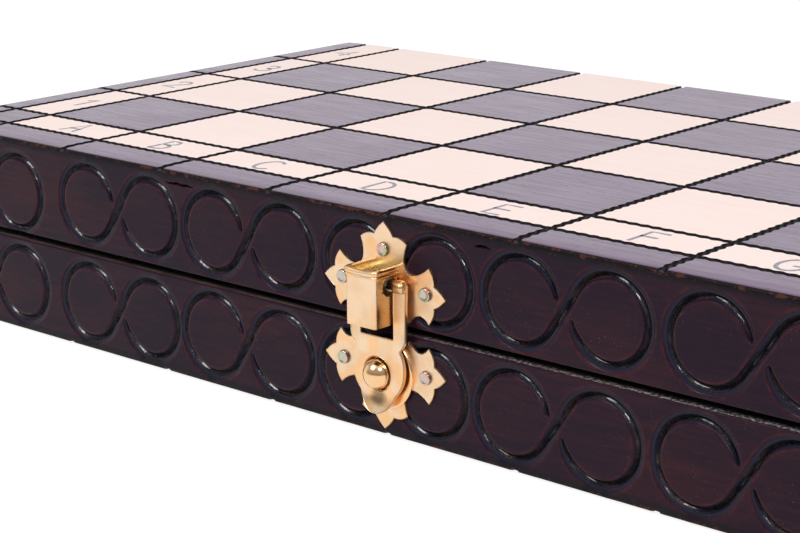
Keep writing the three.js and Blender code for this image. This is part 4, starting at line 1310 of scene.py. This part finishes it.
def ball_profile():
    lowest = math.acos((PIVOT_OUT - 1.25) / BALL)
    arc = [(BALL * math.sin(a), PIVOT_OUT - BALL * math.cos(a)) for a in spaced(lowest, math.pi, 0.09)]
    return [(0, -6), (1.2, -6), (1.2, 0.9), (arc[0][0] * 0.98, 0.9), *arc]


# Turned outlines of the clasp's small parts, as (radius, how far along the axis)
NAIL = (
    (0, -5.5), (0.25, -5.5), (0.7, -4.2), (0.7, 0.5), (1.56, 0.5), (1.65, 0.62), (1.65, 0.98), (1.58, 1.16),
    (1.45, 1.27), (1.28, 1.28), (1.12, 1.2), (0.6, 1.16), (0, 1.17))
BOSS = (
    (0, 0.3), (8.96, 0.3), (9.0, 0.5), (9.0, 0.86), (8.93, 1.06), (8.76, 1.17), (8.5, 1.2), (5.2, 1.16),
    (0, 1.16))
EAR = (
    (0, 3.56), (1.25, 3.56), (1.45, 3.7), (1.5, 3.9), (1.5, 7.3), (1.44, 7.8), (1.25, 8.15), (0.9, 8.38),
    (0, 8.45))
# Where the nails stand, as (node, across, up)
NAILS = (
    ("upper_plate_nail_centre", 0, 18.5), ("upper_plate_nail_left", -12.7, 9.9),
    ("upper_plate_nail_right", 12.7, 9.9), ("lower_plate_nail_left", -12.7, -9.9),
    ("lower_plate_nail_right", 12.7, -9.9))


# ---- Hinges, in the row frame ----


LEAF = 0.8
KNUCKLE = 2.2
PIN = 1.1
KNUCKLE_GAP = 0.3
PIN_END = ((0, 0), (0.7, 0.04), (1.3, 0.18), (1.62, 0.4), (1.62, 0.56), (1.0, 0.6))


def span(node):
    """The middle and the half length of a hinge piece along its axis."""
    low, high = box_mm(node)
    return (low[0] + high[0]) / 2, (high[0] - low[0]) / 2


def along_hinge(middle):
    """Lays a turned shape along the hinge's axis."""
    return lambda points: points[:, [2, 0, 1]] + (middle, HINGE_Y, PARTING)


def build_leaf(name, material, node):
    """A hinge leaf: a thin plate with countersunk screws and its rolled knuckles."""
    upper = "upper" in node
    middle, half = span(node)
    inner, outer = half / 3 - KNUCKLE_GAP / 2, half / 3 + KNUCKLE_GAP / 2
    spans = [(-inner, inner)] if upper else [(-half, -outer), (outer, half)]
    way = -1 if upper else 1
    back, edge, reach = box_mm(node)[0][1] + 0.02, FOLD + 0.02, HINGE_Y - 0.9
    across = lambda flat: flat * (1, 1, way) + (middle, 0, PARTING - way)
    outline = [(1 - half, back), (half - 1, back), (half, back + 1)]
    outline += [(half, edge)] if upper else []
    for start, end in spans[::-1]:
        outline += [(end, edge), (end, reach), (start, reach), (start, edge)]
    outline += [(-half, edge)] if upper else []
    outline += [(-half, back + 1)]
    screws = [(x * half, FOLD - 6.3) for x in (-0.6, 0.6)]
    soup = Soup()
    add_sheet(soup, outline, [circle(at, 1.5, 20) for at in screws], 0, LEAF, 0.12, across)
    head = ((0, 0.05), (1.0, 0.05), (1.46, LEAF - 0.12), (1.3, LEAF - 0.02), (0.25, LEAF), (0, LEAF))
    for x, y in screws:
        add_turned(soup, head, lambda points, x=x, y=y: across(points + (x, y, 0)), 20, 1)
    for start, end in spans:
        ring = [(PIN, start + 0.1), (PIN + 0.12, start), (KNUCKLE - 0.2, start), (KNUCKLE, start + 0.2)]
        ring += [(r, start + end - h) for r, h in ring[::-1]] + ring[:1]
        add_turned(soup, ring, along_hinge(middle), 28)
    return soup.build(name, material)


def build_pin(name, material, node):
    """A hinge pin with a domed head at each end."""
    middle, half = span(node)
    end = [(r, half - h) for r, h in PIN_END]
    soup = Soup()
    add_turned(soup, end + [(r, -h) for r, h in end[::-1]], along_hinge(middle), 24)
    return soup.build(name, [material])


# ---- Chessmen, standing on Z = 0 and facing +X ----


# Height and foot radius of each kind
MEN = {
    "king": (65, 12.5), "queen": (60, 12), "bishop": (52, 10.5), "knight": (47, 10.5), "rook": (42, 10.5),
    "pawn": (36, 9)}
# The rest are shares of them: the foot's rim, and the (radius, height) on which a lying man rests
FOOT_RIM = {"king": 0.055, "queen": 0.058, "bishop": 0.062, "knight": 0.07, "rook": 0.075, "pawn": 0.08}
RESTS_ON = {
    "king": (0.56, 0.84), "queen": (0.62, 0.9), "bishop": (0.46, 0.86), "knight": (2 / 7, 1),
    "rook": (0.72, 1), "pawn": (0.60446, 0.86448)}
BODIES = {
    "king": (
        ((0.54, 0.143), (0.42, 0.2), (0.37, 0.27), (0.325, 0.4), (0.315, 0.5), (0.34, 0.56)),
        ((0.4, 0.575), (0.56, 0.6), (0.6, 0.6225), (0.56, 0.64), (0.42, 0.652)),
        ((0.36, 0.662), (0.41, 0.71), (0.51, 0.8), (0.55, 0.83), (0.53, 0.85), (0.36, 0.878),
         (0.2, 0.892), (0.12, 0.897), (0, 0.9)),
    ),
    "queen": (
        ((0.54, 0.15), (0.41, 0.21), (0.355, 0.28), (0.305, 0.42), (0.3, 0.52), (0.33, 0.59)),
        ((0.38, 0.603), (0.54, 0.622), (0.58, 0.6425), (0.54, 0.66), (0.4, 0.671)),
        ((0.325, 0.682), (0.35, 0.73), (0.43, 0.8), (0.55, 0.865), (0.61, 0.898), (0.585, 0.908),
         (0.45, 0.9), (0.3, 0.905), (0.18, 0.93), (0.13, 0.945), (0.17, 0.957), (0.19, 0.972),
         (0.15, 0.99), (0, 0.998)),
    ),
    "bishop": (
        ((0.54, 0.16), (0.42, 0.22), (0.35, 0.3), (0.305, 0.42), (0.3, 0.5), (0.33, 0.57)),
        ((0.38, 0.583), (0.54, 0.602), (0.58, 0.6225), (0.54, 0.64), (0.4, 0.652)),
        ((0.335, 0.662), (0.44, 0.7), (0.51, 0.76), (0.49, 0.82), (0.39, 0.88), (0.24, 0.925),
         (0.15, 0.94), (0.17, 0.955), (0.19, 0.97), (0.15, 0.99), (0, 0.998)),
    ),
    "rook": (
        ((0.54, 0.195), (0.5, 0.26), (0.47, 0.34), (0.44, 0.5), (0.44, 0.62), (0.48, 0.68)),
        ((0.52, 0.7), (0.68, 0.735), (0.72, 0.76), (0.715, 0.84), (0.715, 0.985), (0.69, 0.998),
         (0.54, 0.998), (0.51, 0.985), (0.5, 0.87), (0.46, 0.86), (0, 0.86)),
    ),
    "pawn": (
        ((0.54, 0.208), (0.43, 0.28), (0.345, 0.38), (0.305, 0.48), (0.305, 0.55)),
        ((0.36, 0.572), (0.52, 0.598), (0.56, 0.625), (0.52, 0.65), (0.42, 0.665)),
        ((0.45, 0.705), (0.56, 0.75), (0.61, 0.8), (0.615, 0.84), (0.58, 0.89), (0.5, 0.935),
         (0.38, 0.965), (0.2, 0.985), (0, 0.992)),
    ),
    "knight": (
        ((0.54, 0.182), (0.5, 0.215), (0.49, 0.235)),
        ((0.52, 0.25), (0.56, 0.268), (0.56, 0.29), (0.52, 0.308), (0, 0.31)),
    ),
}


# A foot's side and the slope above it, as (share of the radius, share of the rim's height)
FOOT = ((0.992, 0.25), (1, 0.45), (1, 0.75), (0.988, 0.95), (0.95, 1.03))
FLANK = ((0.9, 1.1), (0.8, 1.4), (0.7, 1.75), (0.6, 2.25), (0.54, 2.6))


def man_profile(kind):
    """The turned outline of a chessman from its felt to its top, and the slot of each band."""
    height, radius = MEN[kind]
    rim, felt = FOOT_RIM[kind], 0.5 / height
    shares = [(0, 0), (0.9, 0), (0.92, felt * 0.3), (0.92, felt), (0.97, felt * 1.05)]
    shares += [(r, rim * h) for r, h in FOOT]
    shares += [tuple(p) for p in smooth_line([(r, rim * h) for r, h in FLANK], 3)]
    for stretch in BODIES[kind]:
        shares += [tuple(p) for p in smooth_line(stretch, 4)]
    clear = [shares[0]]
    for r, h in shares[1:]:
        if math.dist((r * radius, h * height), (clear[-1][0] * radius, clear[-1][1] * height)) > 0.04:
            clear.append((r, h))
    slots = [1, 1, 1] + [0] * (len(clear) - 4)
    return [(max(r, 0) * radius, h * height) for r, h in clear], slots


def add_cross(soup):
    """The king's cross, flared at its ends."""
    height, radius = MEN["king"]
    arm, foot, mid = radius * 0.265, height * 0.885, height * 0.953
    stroke, flare, top = radius * 0.075, radius * 0.145, height * 0.998
    low, high = (stroke, mid - stroke), (stroke, mid + stroke)
    line = [(-flare, foot), (flare, foot)]
    line += curve((flare, foot), (stroke, mid - arm * 0.6), low, steps=4)
    line += curve(low, (arm * 0.6, mid - stroke), (arm, mid - flare), steps=4)
    line += [(arm, mid + flare), *curve((arm, mid + flare), (arm * 0.6, mid + stroke), high, steps=4)]
    line += curve(high, (stroke, mid + arm * 0.6), (flare, top), steps=4)
    line += [(-x, z) for x, z in line[:1:-1]]
    half = radius * 0.085
    add_sheet(soup, line, [], -half, half, 0.22, lambda p: p[:, [0, 2, 1]] * (1, -1, 1), back_ease=0.22)


MUZZLE = 10.5
HEAD_THICK = 10.0
HEAD_SIDE = (
    (0.5, 0.29), (0.62, 0.36), (0.62, 0.44), (0.47, 0.52), (0.33, 0.57), (0.42, 0.6), (0.62, 0.615),
    (0.82, 0.625), (0.94, 0.65), (0.985, 0.7), (0.9, 0.745), (0.72, 0.785), (0.56, 0.835), (0.44, 0.885),
    (0.38, 0.93), (0.31, 0.99), (0.2, 0.965), (0.04, 0.925), (-0.16, 0.905), (-0.36, 0.85), (-0.52, 0.76),
    (-0.62, 0.65), (-0.66, 0.53), (-0.64, 0.41), (-0.57, 0.33), (-0.54, 0.29), (-0.2, 0.286), (0.2, 0.286))


def add_knight_head(soup):
    """The horse's head: a side view swollen to its middle, with cheek, eye, mouth and mane."""
    height, radius = MEN["knight"]
    side = [(x * (MUZZLE if x > 0 else radius), z * height) for x, z in HEAD_SIDE]
    ring = counter(smooth_line(side, 4, closed=True))
    points = grid_points(-7.5, 11, 12.5, 47.5, 0.55)
    flat, tris = triangulated([ring], (), points[within(points, [inward(ring, 0.3)])])
    x, z = flat.T
    gap = distance_to(flat, np.vstack([ring, ring[:1]]))
    up = (z / height - 0.29) / 0.71
    full = HEAD_THICK / 2 * (1 - 0.35 * np.clip(x, 0, None) / MUZZLE) * (1 - 0.4 * np.clip(up, 0, 1) ** 2)
    swell = full * np.sqrt(1 - np.clip(1 - gap / 3.4, 0, 1) ** 2)
    cut = lambda away, wide: np.exp(-(away / wide) ** 2)
    stroke = lambda *ends: distance_to(flat, np.array(ends))
    spot = lambda across, high: np.hypot(x - across, z - high)
    eye, nostril, cheek = spot(4.0, 38.0), spot(9.0, 33.6), spot(1.2, 33.0)
    carved = 0.55 * cut(stroke((8.9, 31.2), (5.6, 31.6)), 0.42)
    carved += 0.6 * cut(eye, 0.75) - 0.35 * cut(eye - 1.2, 0.4) + 0.4 * cut(nostril, 0.45)
    carved += 0.45 * cut(cheek - 4.2, 0.5) * (x < 3.2) * (z < 35)
    mane = np.clip((-1.2 - x + (z - 30) * 0.12) / 1.5, 0, 1) * (z < 43)
    carved += 0.42 * mane * np.clip(np.sin((z + x * 0.55) * 2.1), 0, 1) * np.clip(gap / 0.6, 0, 1)
    carved += 0.5 * cut(stroke((2.2, 45.5), (2.6, 41.8)), 0.45)
    depth = np.where(gap > 1e-6, np.maximum(swell - carved * np.clip(gap / 0.8, 0, 1), 0.05), 0)
    for way in (-1, 1):
        soup.add(np.column_stack([x, way * depth, z]), tris)


def crowned(points):
    """The queen's rim, raised to eight points."""
    height, radius = MEN["queen"]
    x, y, z = points.T
    r, angle = np.hypot(x, y), np.arctan2(y, x)
    rise = np.clip((z - height * 0.855) / (height * 0.05), 0, 1) * np.clip(r / radius * 3 - 0.9, 0, 1)
    return np.column_stack([x, y, z - rise * (0.5 - 0.5 * np.cos(8 * angle)) ** 1.5 * height * 0.028])


def mitred(points):
    """The bishop's mitre, with its slanting cut."""
    x, y, z = points.T
    slope = (z - MEN["bishop"][0] * 0.79) - 0.72 * x
    pull = 1 - 0.26 * np.exp(-(slope / 0.55) ** 2) * np.clip(x / 1.2 + 0.2, 0, 1)
    return np.column_stack([x * pull, y * pull, z])


def man_mesh(kind, materials):
    """One standing chessman as a mesh, to be placed by each of its copies."""
    height = MEN[kind][0]
    profile, slots = man_profile(kind)
    if kind == "bishop":
        fine = []
        for (r0, h0), (r1, h1) in zip(profile, profile[1:]):
            steps = math.dist((r0, h0), (r1, h1)) / 0.35 if height * 0.68 < h0 < height * 0.93 else 1
            n = max(int(steps), 1)
            fine += [(r0 + (r1 - r0) * i / n, h0 + (h1 - h0) * i / n) for i in range(n)]
        profile = fine + [profile[-1]]
        slots = slots[:3] + [0] * (len(profile) - 4)
    soup = Soup()
    if kind == "rook":
        add_crenels(soup, profile, slots)
    else:
        shape = {"queen": crowned, "bishop": mitred}.get(kind, lambda points: points)
        add_turned(soup, profile, shape, 48, slots)
    if kind == "king":
        add_cross(soup)
    if kind == "knight":
        add_knight_head(soup)
    made = soup.build("man_" + kind, materials, sharp=55)
    standing = made.data.attributes.new("standing", "FLOAT_VECTOR", "POINT")
    standing.data.foreach_set("vector", [c for v in made.data.vertices for c in v.co])
    return made


def add_crenels(soup, profile, slots):
    """A rook, whose parapet is cut by four slots."""
    height, radius = MEN["rook"]
    sides, floor, inner = 64, 0.9 * height, 0.49 * radius
    half = np.pi / sides
    turn = (2 * np.arange(sides) + 1) * half
    cut = np.abs(np.sin(2 * turn)) * 0.31 < 0.15

    def station(r, h):
        """The two edges of every sector at one height."""
        level = np.where(cut & (r > inner), np.minimum(h, floor), h)
        return [np.column_stack([r * np.cos(at), r * np.sin(at), level]) for at in edges]

    edges = (turn - half, turn + half)
    stations = [station(r, h) for r, h in profile]
    parapet = [pair for pair, (r, h) in zip(stations, profile) if r > inner and h >= floor - 1e-6]
    for slot, (a, b), (c, d) in zip(slots, stations, stations[1:]):
        for quad in np.stack([a, b, d, c], 1):
            if np.linalg.norm(quad[0] - quad[3]) + np.linalg.norm(quad[1] - quad[2]) > 1e-3:
                soup.add(quad, [(0, 1, 2, 3)], slot)
    for k in np.flatnonzero(cut != np.roll(cut, -1)):
        tall, side = ((k + 1) % sides, 0) if cut[k] else (k, 1)
        angle = edges[side][tall]
        feet = [(r * math.cos(angle), r * math.sin(angle), floor) for r in (0.715 * radius, 0.5 * radius)]
        ring = [feet[0], *[pair[side][tall] for pair in parapet], feet[1]]
        clear = [p for i, p in enumerate(ring) if math.dist(p, ring[i - 1]) > 0.01]
        soup.add(np.array(clear), [tuple(range(len(clear)))])


def stand_of(node, kind, upper):
    """Matrix that lays a standing chessman where its CAD node lies, in metres."""
    height, radius = MEN[kind]
    touch_radius, touch_height = RESTS_ON[kind]
    lean = math.atan2(radius * (1 - touch_radius), height * (touch_height - FOOT_RIM[kind]))
    way = -1 if upper else 1
    x, axis = Vector((way, 0, 0)), Vector((0, way * math.cos(lean), -way * math.sin(lean)))
    y = axis.cross(x)
    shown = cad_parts[node]
    places = np.array([shown.matrix_world @ v.co for v in shown.data.vertices])
    along = places @ np.array(axis)
    foot = places[along < along.min() + 0.003] if kind == "knight" else places
    middle = lambda values: (values.min() + values.max()) / 2
    origin = Vector((middle(foot[:, 0]), 0, 0)) + y * middle(places @ np.array(y)) + axis * along.min()
    return Matrix.Translation(origin) @ Matrix((x, y, axis)).transposed().to_4x4()


# ---- Operators ----


def on_half(half):
    """Maps the playing face's frame, in millimetres, to the row frame."""
    if half == "upper":
        return lambda points: points + (0, 0, CLOSED)
    return lambda points: points * (-1, 1, -1)


def rides(made, body, slot, *nodes):
    """Puts a piece on its body and hides the nodes that it stands for; slot is not used."""
    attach(made, body)
    if nodes:
        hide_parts(*nodes)


def kept(node, material, bevel):
    """Gives a CAD node that stays its material and edges eased by a bevel."""
    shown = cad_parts[node]
    shown.data.materials.clear()
    shown.data.materials.append(material)
    ease = shown.modifiers.new("ease", "BEVEL")
    ease.width, ease.segments, ease.limit_method = bevel * MM, 2, "ANGLE"
    ease.angle_limit = math.radians(40)
    ease.harden_normals = True


class CHESSBOX_OT_wood(bpy.types.Operator):
    """Builds the playing panels, the carved rails and the lettering of both halves"""

    bl_idname = "chessbox.wood"
    bl_label = "Carved Halves"

    def execute(self, context):
        wood = settings(context, "chess_wood")
        dice = random.Random(7)
        shared = [
            square_veneer(wood, "dark_square", True), square_veneer(wood, "light_square", False),
            burnt_cord("burnt_cord")]
        rim = sawn_rim("sawn_rim")
        across = [*shared, stained_wood(wood, "stained_wood_long", 0), rim]
        deep = [*shared, stained_wood(wood, "stained_wood_deep", 1), rim]
        ink = printed_ink(wood, "lettering_ink")
        for half in HALVES:
            body, place, upper = half + "_half", on_half(half), half == "upper"
            panel = build_panel(wood, half + "_playing_panel", across, place)
            rides(panel, body, "board_face", half + "_panel")
            middle, level, wider, first_drop = ROWS[half]
            radius = wood.scroll_radius + wider
            row = [middle + (i - 3) * wood.scroll_pitch + dice.uniform(-0.4, 0.4) for i in range(7)]
            tune = lambda x: (
                x, level + dice.uniform(-0.2, 0.2), radius + dice.uniform(-0.12, 0.12),
                dice.uniform(-0.8, 0.4))
            scrolls = [tune(x + shift) for x, shift in zip(row, ROW_SHIFTS[half])]
            scrolls[0] = (scrolls[0][0], scrolls[0][1] - first_drop, *scrolls[0][2:])
            nicks = NICKS if upper else ()
            rail = build_rail(wood, half + "_carved_front", across, place, 0, scrolls, nicks)
            rides(rail, body, "stained_wood", half + "_front_rail")
            for side in (-1, 1):
                word = "left" if (side < 0) == upper else "right"
                spots = [(FRONT + FOLD) / 2 + (i - 1) * 55 + dice.uniform(-0.4, 0.4) for i in range(3)]
                scrolls = [(at, height, turn - 0.6, tilt) for at, height, turn, tilt in map(tune, spots)]
                rail = build_rail(wood, f"{half}_carved_{word}", deep, place, side, scrolls)
                rides(rail, body, "stained_wood", f"{half}_{word}_rail")
            rides(build_lettering(wood, half + "_lettering", ink, place, upper), body, "board_face")
            kept(half + "_fold_rail", across[WOOD], 0.35)
        return {"FINISHED"}


class CHESSBOX_OT_clasp(bpy.types.Operator):
    """Builds the brass trefoil clasp: both plates, the hood, the ball stud, the hasp and its nails"""

    bl_idname = "chessbox.clasp"
    bl_label = "Brass Clasp"

    def execute(self, context):
        clasp = settings(context, "chess_clasp")
        brass = polished_brass(clasp, "polished_brass", satin=0.32)
        warm = polished_brass(clasp, "warm_brass", deep=0.3, satin=0.13)
        # Painted shade: the darker brass of the hood's side walls and edges and of the hasp's ears.
        shade = polished_brass(clasp, "shade_tint_brass", satin=0.22, shade_tint=clasp.brass_shade)
        # Painted shade: a dull dark brass for the hood's dished roof, which is the same sheet as its walls.
        roof = plated_steel((0.31, 0.25, 0.10), "shaded_roof_brass", play_share=0.0)
        # Painted shade: a near-black finish for the hood's inner skin and the underside of its roof.
        inside = plated_steel((0.075, 0.045, 0.022), "shaded_inside", play_share=0.0)
        steel = plated_steel(clasp.nail, "plated_steel")
        # Painted shade: a dark steel for the rims and shanks of the nails.
        dull = plated_steel((0.13, 0.10, 0.075), "shaded_nail_steel", play_share=0.25)
        loose = grid_points(-19, 19, 1.5, 25.5, 0.9)

        plate = Soup()
        add_sheet(
            plate, trefoil(), [], SHEET_BACK, clasp.sheet, SHEET_EASE, on_clasp, loose, hammered(0.4))
        build_hood(plate, clasp.lip)
        made = plate.build("leaf_plate_and_hood", [brass, warm, shade, inside, roof], sharp=50)
        rides(made, "upper_half", "brass", "clasp_upper_plate")

        lower = Soup()
        outline = recessed_foot(trefoil())
        add_sheet(
            lower, outline, [], SHEET_BACK, clasp.sheet, SHEET_EASE, under_clasp, loose, hammered(2.1))
        under_window = lambda points: on_clasp(np.minimum(points + (0, -STUD, 0), (99, -3.1, 99)))
        add_turned(lower, BOSS, under_window, 72, WARM)
        made = lower.build("leaf_plate_and_boss", [brass, warm], sharp=50)
        rides(made, "lower_half", "brass", "clasp_lower_plate")

        ball = Soup()
        add_turned(ball, ball_profile(), lambda points: on_clasp(points + (0, -STUD, 0)), 56)
        rides(ball.build("ball_stud", [warm], sharp=50), "lower_half", "brass", "clasp_ball_stud")

        hasp = Soup()
        loose = grid_points(-8.6, 8.6, -20, 12, 0.45)
        hole = circle((0, -STUD), BALL + 0.42, 56)
        relief = hasp_relief(clasp.dish)
        add_sheet(
            hasp, hasp_outline(), [hole], HASP_BACK, HASP_FRONT, 0.2, on_clasp, loose, relief, 0.12)
        for side in (-1, 1):
            turn = lambda points, side=side: on_clasp(
                points[:, [2, 0, 1]] * (side, 1, 1) + (0, PIVOT_UP, PIVOT_OUT))
            # The ears take the darker brass, painted shade.
            add_turned(hasp, EAR, turn, 32, 1)
        # The dark patch round the thumb scoop is painted shade.
        thumb = on_clasp(np.array([[0.2, -16.6, 0]]))[0] * MM
        thumb_shaded = polished_brass(clasp, "thumb_shaded_brass", satin=0.3, thumb_shade_at=(thumb[0], thumb[2]))
        rides(hasp.build("dished_hasp", [thumb_shaded, shade], sharp=50), "hasp", "brass", "clasp_hasp")

        # The nails' rims and shanks take the dark steel, painted shade.
        slots = [1 if max(h for _, h in pair) < 1.17 else 0 for pair in zip(NAIL, NAIL[1:])]
        for node, x, up in NAILS:
            nail = Soup()
            add_turned(nail, NAIL, lambda points, x=x, up=up: on_clasp(points + (x, up, 0)), 32, slots)
            made = nail.build("flat_" + node, [steel, dull], sharp=50)
            rides(made, node.split("_")[0] + "_half", "steel", node)
        return {"FINISHED"}


class CHESSBOX_OT_trays(bpy.types.Operator):
    """Builds the chessmen and the hinges, and finishes the flocked inserts"""

    bl_idname = "chessbox.trays"
    bl_label = "Trays and Hinges"

    def execute(self, context):
        trays = settings(context, "chess_trays")
        clasp = settings(context, "chess_clasp")
        flock = velvet_flock(trays.flock, "velvet_flock")
        for half in HALVES:
            kept(half + "_insert", flock, 0.6)
        brass = polished_brass(clasp, "hinge_brass", deep=0.3)
        steel = plated_steel(trays.pin_steel, "pin_steel")
        for side in ("left", "right"):
            for half in HALVES:
                node = f"{side}_hinge_{half}_leaf"
                rides(build_leaf("rolled_" + node, [brass, steel], node), half + "_half", "brass", node)
            node = side + "_hinge_pin"
            rides(build_pin("headed_" + node, steel, node), "lower_half", "steel", node)
        felt = velvet_flock((0.02, 0.09, 0.035), "green_baize")
        for tone, half, tint in (("dark", "lower", trays.dark_man), ("light", "upper", trays.light_man)):
            wood = turned_wood(tint, tone + "_turned_wood")
            for kind in MEN:
                first = man_mesh(kind, [wood, felt])
                upright = first.data.copy()
                count = {"king": 1, "queen": 1, "pawn": 8}.get(kind, 2)
                shared_name = f"{tone}_{kind}"
                names = [f"{shared_name}_{i + 1}" for i in range(count)] if count > 1 else [shared_name]
                for i, node in enumerate(names):
                    man = first
                    if i:
                        man = bpy.data.objects.new("turned_" + node, upright.copy())
                        context.scene.collection.objects.link(man)
                    man.name = "turned_" + node
                    man.data.transform(stand_of(node, kind, half == "upper"))
                    rides(man, half + "_half", tone + "_wood", node)
        return {"FINISHED"}


class CHESSBOX_OT_stage(bpy.types.Operator):
    """Makes the pale floor, the lamps, the world and the camera"""

    bl_idname = "chessbox.stage"
    bl_label = "Stage"

    def execute(self, context):
        stage = settings(context, "chess_stage")
        scene = context.scene
        scene.view_settings.view_transform = "Standard"

        ground = Finish("pale_floor")
        seen = ground.ray("Is Camera Ray").most(ground.ray("Is Glossy Ray"))
        plain = ground.node("ShaderNodeBsdfDiffuse", values={"Color": (0.78, 0.78, 0.78)})
        share = 1.08 - stage.floor_glow
        lit = ground.node("ShaderNodeBsdfDiffuse", values={"Color": (share,) * 3})
        glow = ground.node("ShaderNodeEmission", values={"Color": (1, 1, 1), "Strength": stage.floor_glow})
        bright = ground.node("ShaderNodeAddShader", values={0: lit, 1: glow})
        front = ground.node("ShaderNodeMixShader", values={0: seen, 1: plain, 2: bright})
        clear = ground.node("ShaderNodeBsdfTransparent")
        below = ground.node("ShaderNodeNewGeometry", output="Backfacing")
        whole = ground.node("ShaderNodeMixShader", values={0: below, 1: front, 2: clear})
        ground.node("ShaderNodeOutputMaterial", values={"Surface": whole})
        half, drop = 4.0, -0.0002
        corners = [(x * half, y * half, drop) for x, y in ((-1, -1), (1, -1), (1, 1), (-1, 1))]
        mesh = bpy.data.meshes.new("floor")
        mesh.from_pydata(corners, [], [(0, 1, 2, 3)])
        mesh.materials.append(ground.material)
        floor = bpy.data.objects.new("floor", mesh)
        scene.collection.objects.link(floor)

        scene.world = self.tent(stage)

        aim = Vector((0, -0.03, 0.03))
        self.lamp(scene, "key_lamp", aim, Vector((-0.35, -1.0, 1.15)), 0.55, stage.key_power)
        self.lamp(scene, "rim_lamp", aim, Vector((0.75, -0.55, 0.95)), 0.32, stage.rim_power)

        data = bpy.data.cameras.new("camera")
        data.lens = stage.lens
        data.sensor_width = 36
        data.clip_start, data.clip_end = 0.01, 50
        camera = bpy.data.objects.new("camera", data)
        heading, dip, roll = (math.radians(a) for a in (stage.heading, stage.dip, stage.roll))
        level = math.cos(dip)
        ahead = Vector((math.sin(heading) * level, math.cos(heading) * level, -math.sin(dip)))
        right = ahead.cross(Vector((0, 0, 1))).normalized()
        up = right.cross(ahead)
        turned_right = math.cos(roll) * right + math.sin(roll) * up
        turned_up = math.cos(roll) * up - math.sin(roll) * right
        axes = Matrix((turned_right, turned_up, -ahead)).transposed()
        camera.matrix_world = Matrix.Translation(Vector(stage.eye)) @ axes.to_4x4()
        scene.collection.objects.link(camera)
        scene.camera = camera
        return {"FINISHED"}

    @staticmethod
    def tent(stage):
        """The world: even light, and for gloss a white backdrop behind the box, with a dimmer room
        and a ceiling panel on the other side."""
        tent = Finish("white_tent", "worlds")
        heading = math.radians(stage.heading)
        ahead = (math.sin(heading), math.cos(heading), 0)
        away = tent.node(
            "ShaderNodeVectorMath", {"operation": "DOT_PRODUCT"}, {0: tent.place, 1: ahead}, output=1)
        height = tent.part("Z")
        ceiling = height.ramp(0.72, 0.95) * (1 - stage.room_level)
        room = height.ramp(0.02, 0.4, 0.2, stage.room_level) + ceiling
        backdrop = away.ramp(-0.1, 0.35) * height.ramp(0.34, 0.62, 1.0, 0.0)
        gloss = backdrop + (1 - backdrop) * room
        glossy, camera = tent.ray("Is Glossy Ray"), tent.ray("Is Camera Ray")
        level = camera + (1 - camera) * (glossy * gloss + (1 - glossy) * stage.fill_level)
        sky = tent.node("ShaderNodeBackground", values={"Color": (1, 1, 1), "Strength": level})
        tent.node("ShaderNodeOutputWorld", values={"Surface": sky})
        return tent.material

    @staticmethod
    def lamp(scene, name, aim, place, width, power):
        data = bpy.data.lights.new(name, "AREA")
        data.shape, data.size, data.energy = "SQUARE", width, power
        lamp = bpy.data.objects.new(name, data)
        lamp.location = place
        lamp.rotation_mode = "QUATERNION"
        lamp.rotation_quaternion = (aim - place).to_track_quat("-Z", "Y")
        scene.collection.objects.link(lamp)


class CHESSBOX_PT_panel(bpy.types.Panel):
    """Lists the builders of the chess box and what they may be told"""

    bl_label = "Chess Box"
    bl_idname = "CHESSBOX_PT_panel"
    bl_space_type = "VIEW_3D"
    bl_region_type = "UI"
    bl_category = "Chess Box"

    def draw(self, context):
        for group, operators in SECTIONS:
            box = self.layout.box()
            chosen = settings(context, group)
            for name in chosen.__annotations__:
                box.prop(chosen, name)
            for operator in operators:
                box.operator(operator.bl_idname)


SECTIONS = (
    ("chess_wood", (CHESSBOX_OT_wood,)),
    ("chess_clasp", (CHESSBOX_OT_clasp,)),
    ("chess_trays", (CHESSBOX_OT_trays,)),
    ("chess_stage", (CHESSBOX_OT_stage,)),
)
GROUPS = {
    "chess_wood": ChessWoodSettings,
    "chess_clasp": ChessClaspSettings,
    "chess_trays": ChessTraySettings,
    "chess_stage": ChessStageSettings,
}
OPERATORS = [operator for _, operators in SECTIONS for operator in operators]
CLASSES = (*GROUPS.values(), *OPERATORS, CHESSBOX_PT_panel)


def register():
    for kind in CLASSES:
        bpy.utils.register_class(kind)
    for name, group in GROUPS.items():
        setattr(bpy.types.Scene, name, bpy.props.PointerProperty(type=group))


def unregister():
    for name in GROUPS:
        delattr(bpy.types.Scene, name)
    for kind in reversed(CLASSES):
        bpy.utils.unregister_class(kind)


def main():
    register()
    for operator in OPERATORS:
        group, name = operator.bl_idname.split(".")
        getattr(getattr(bpy.ops, group), name)()
    bpy.context.view_layer.update()


if __name__ == "__main__":
    main()
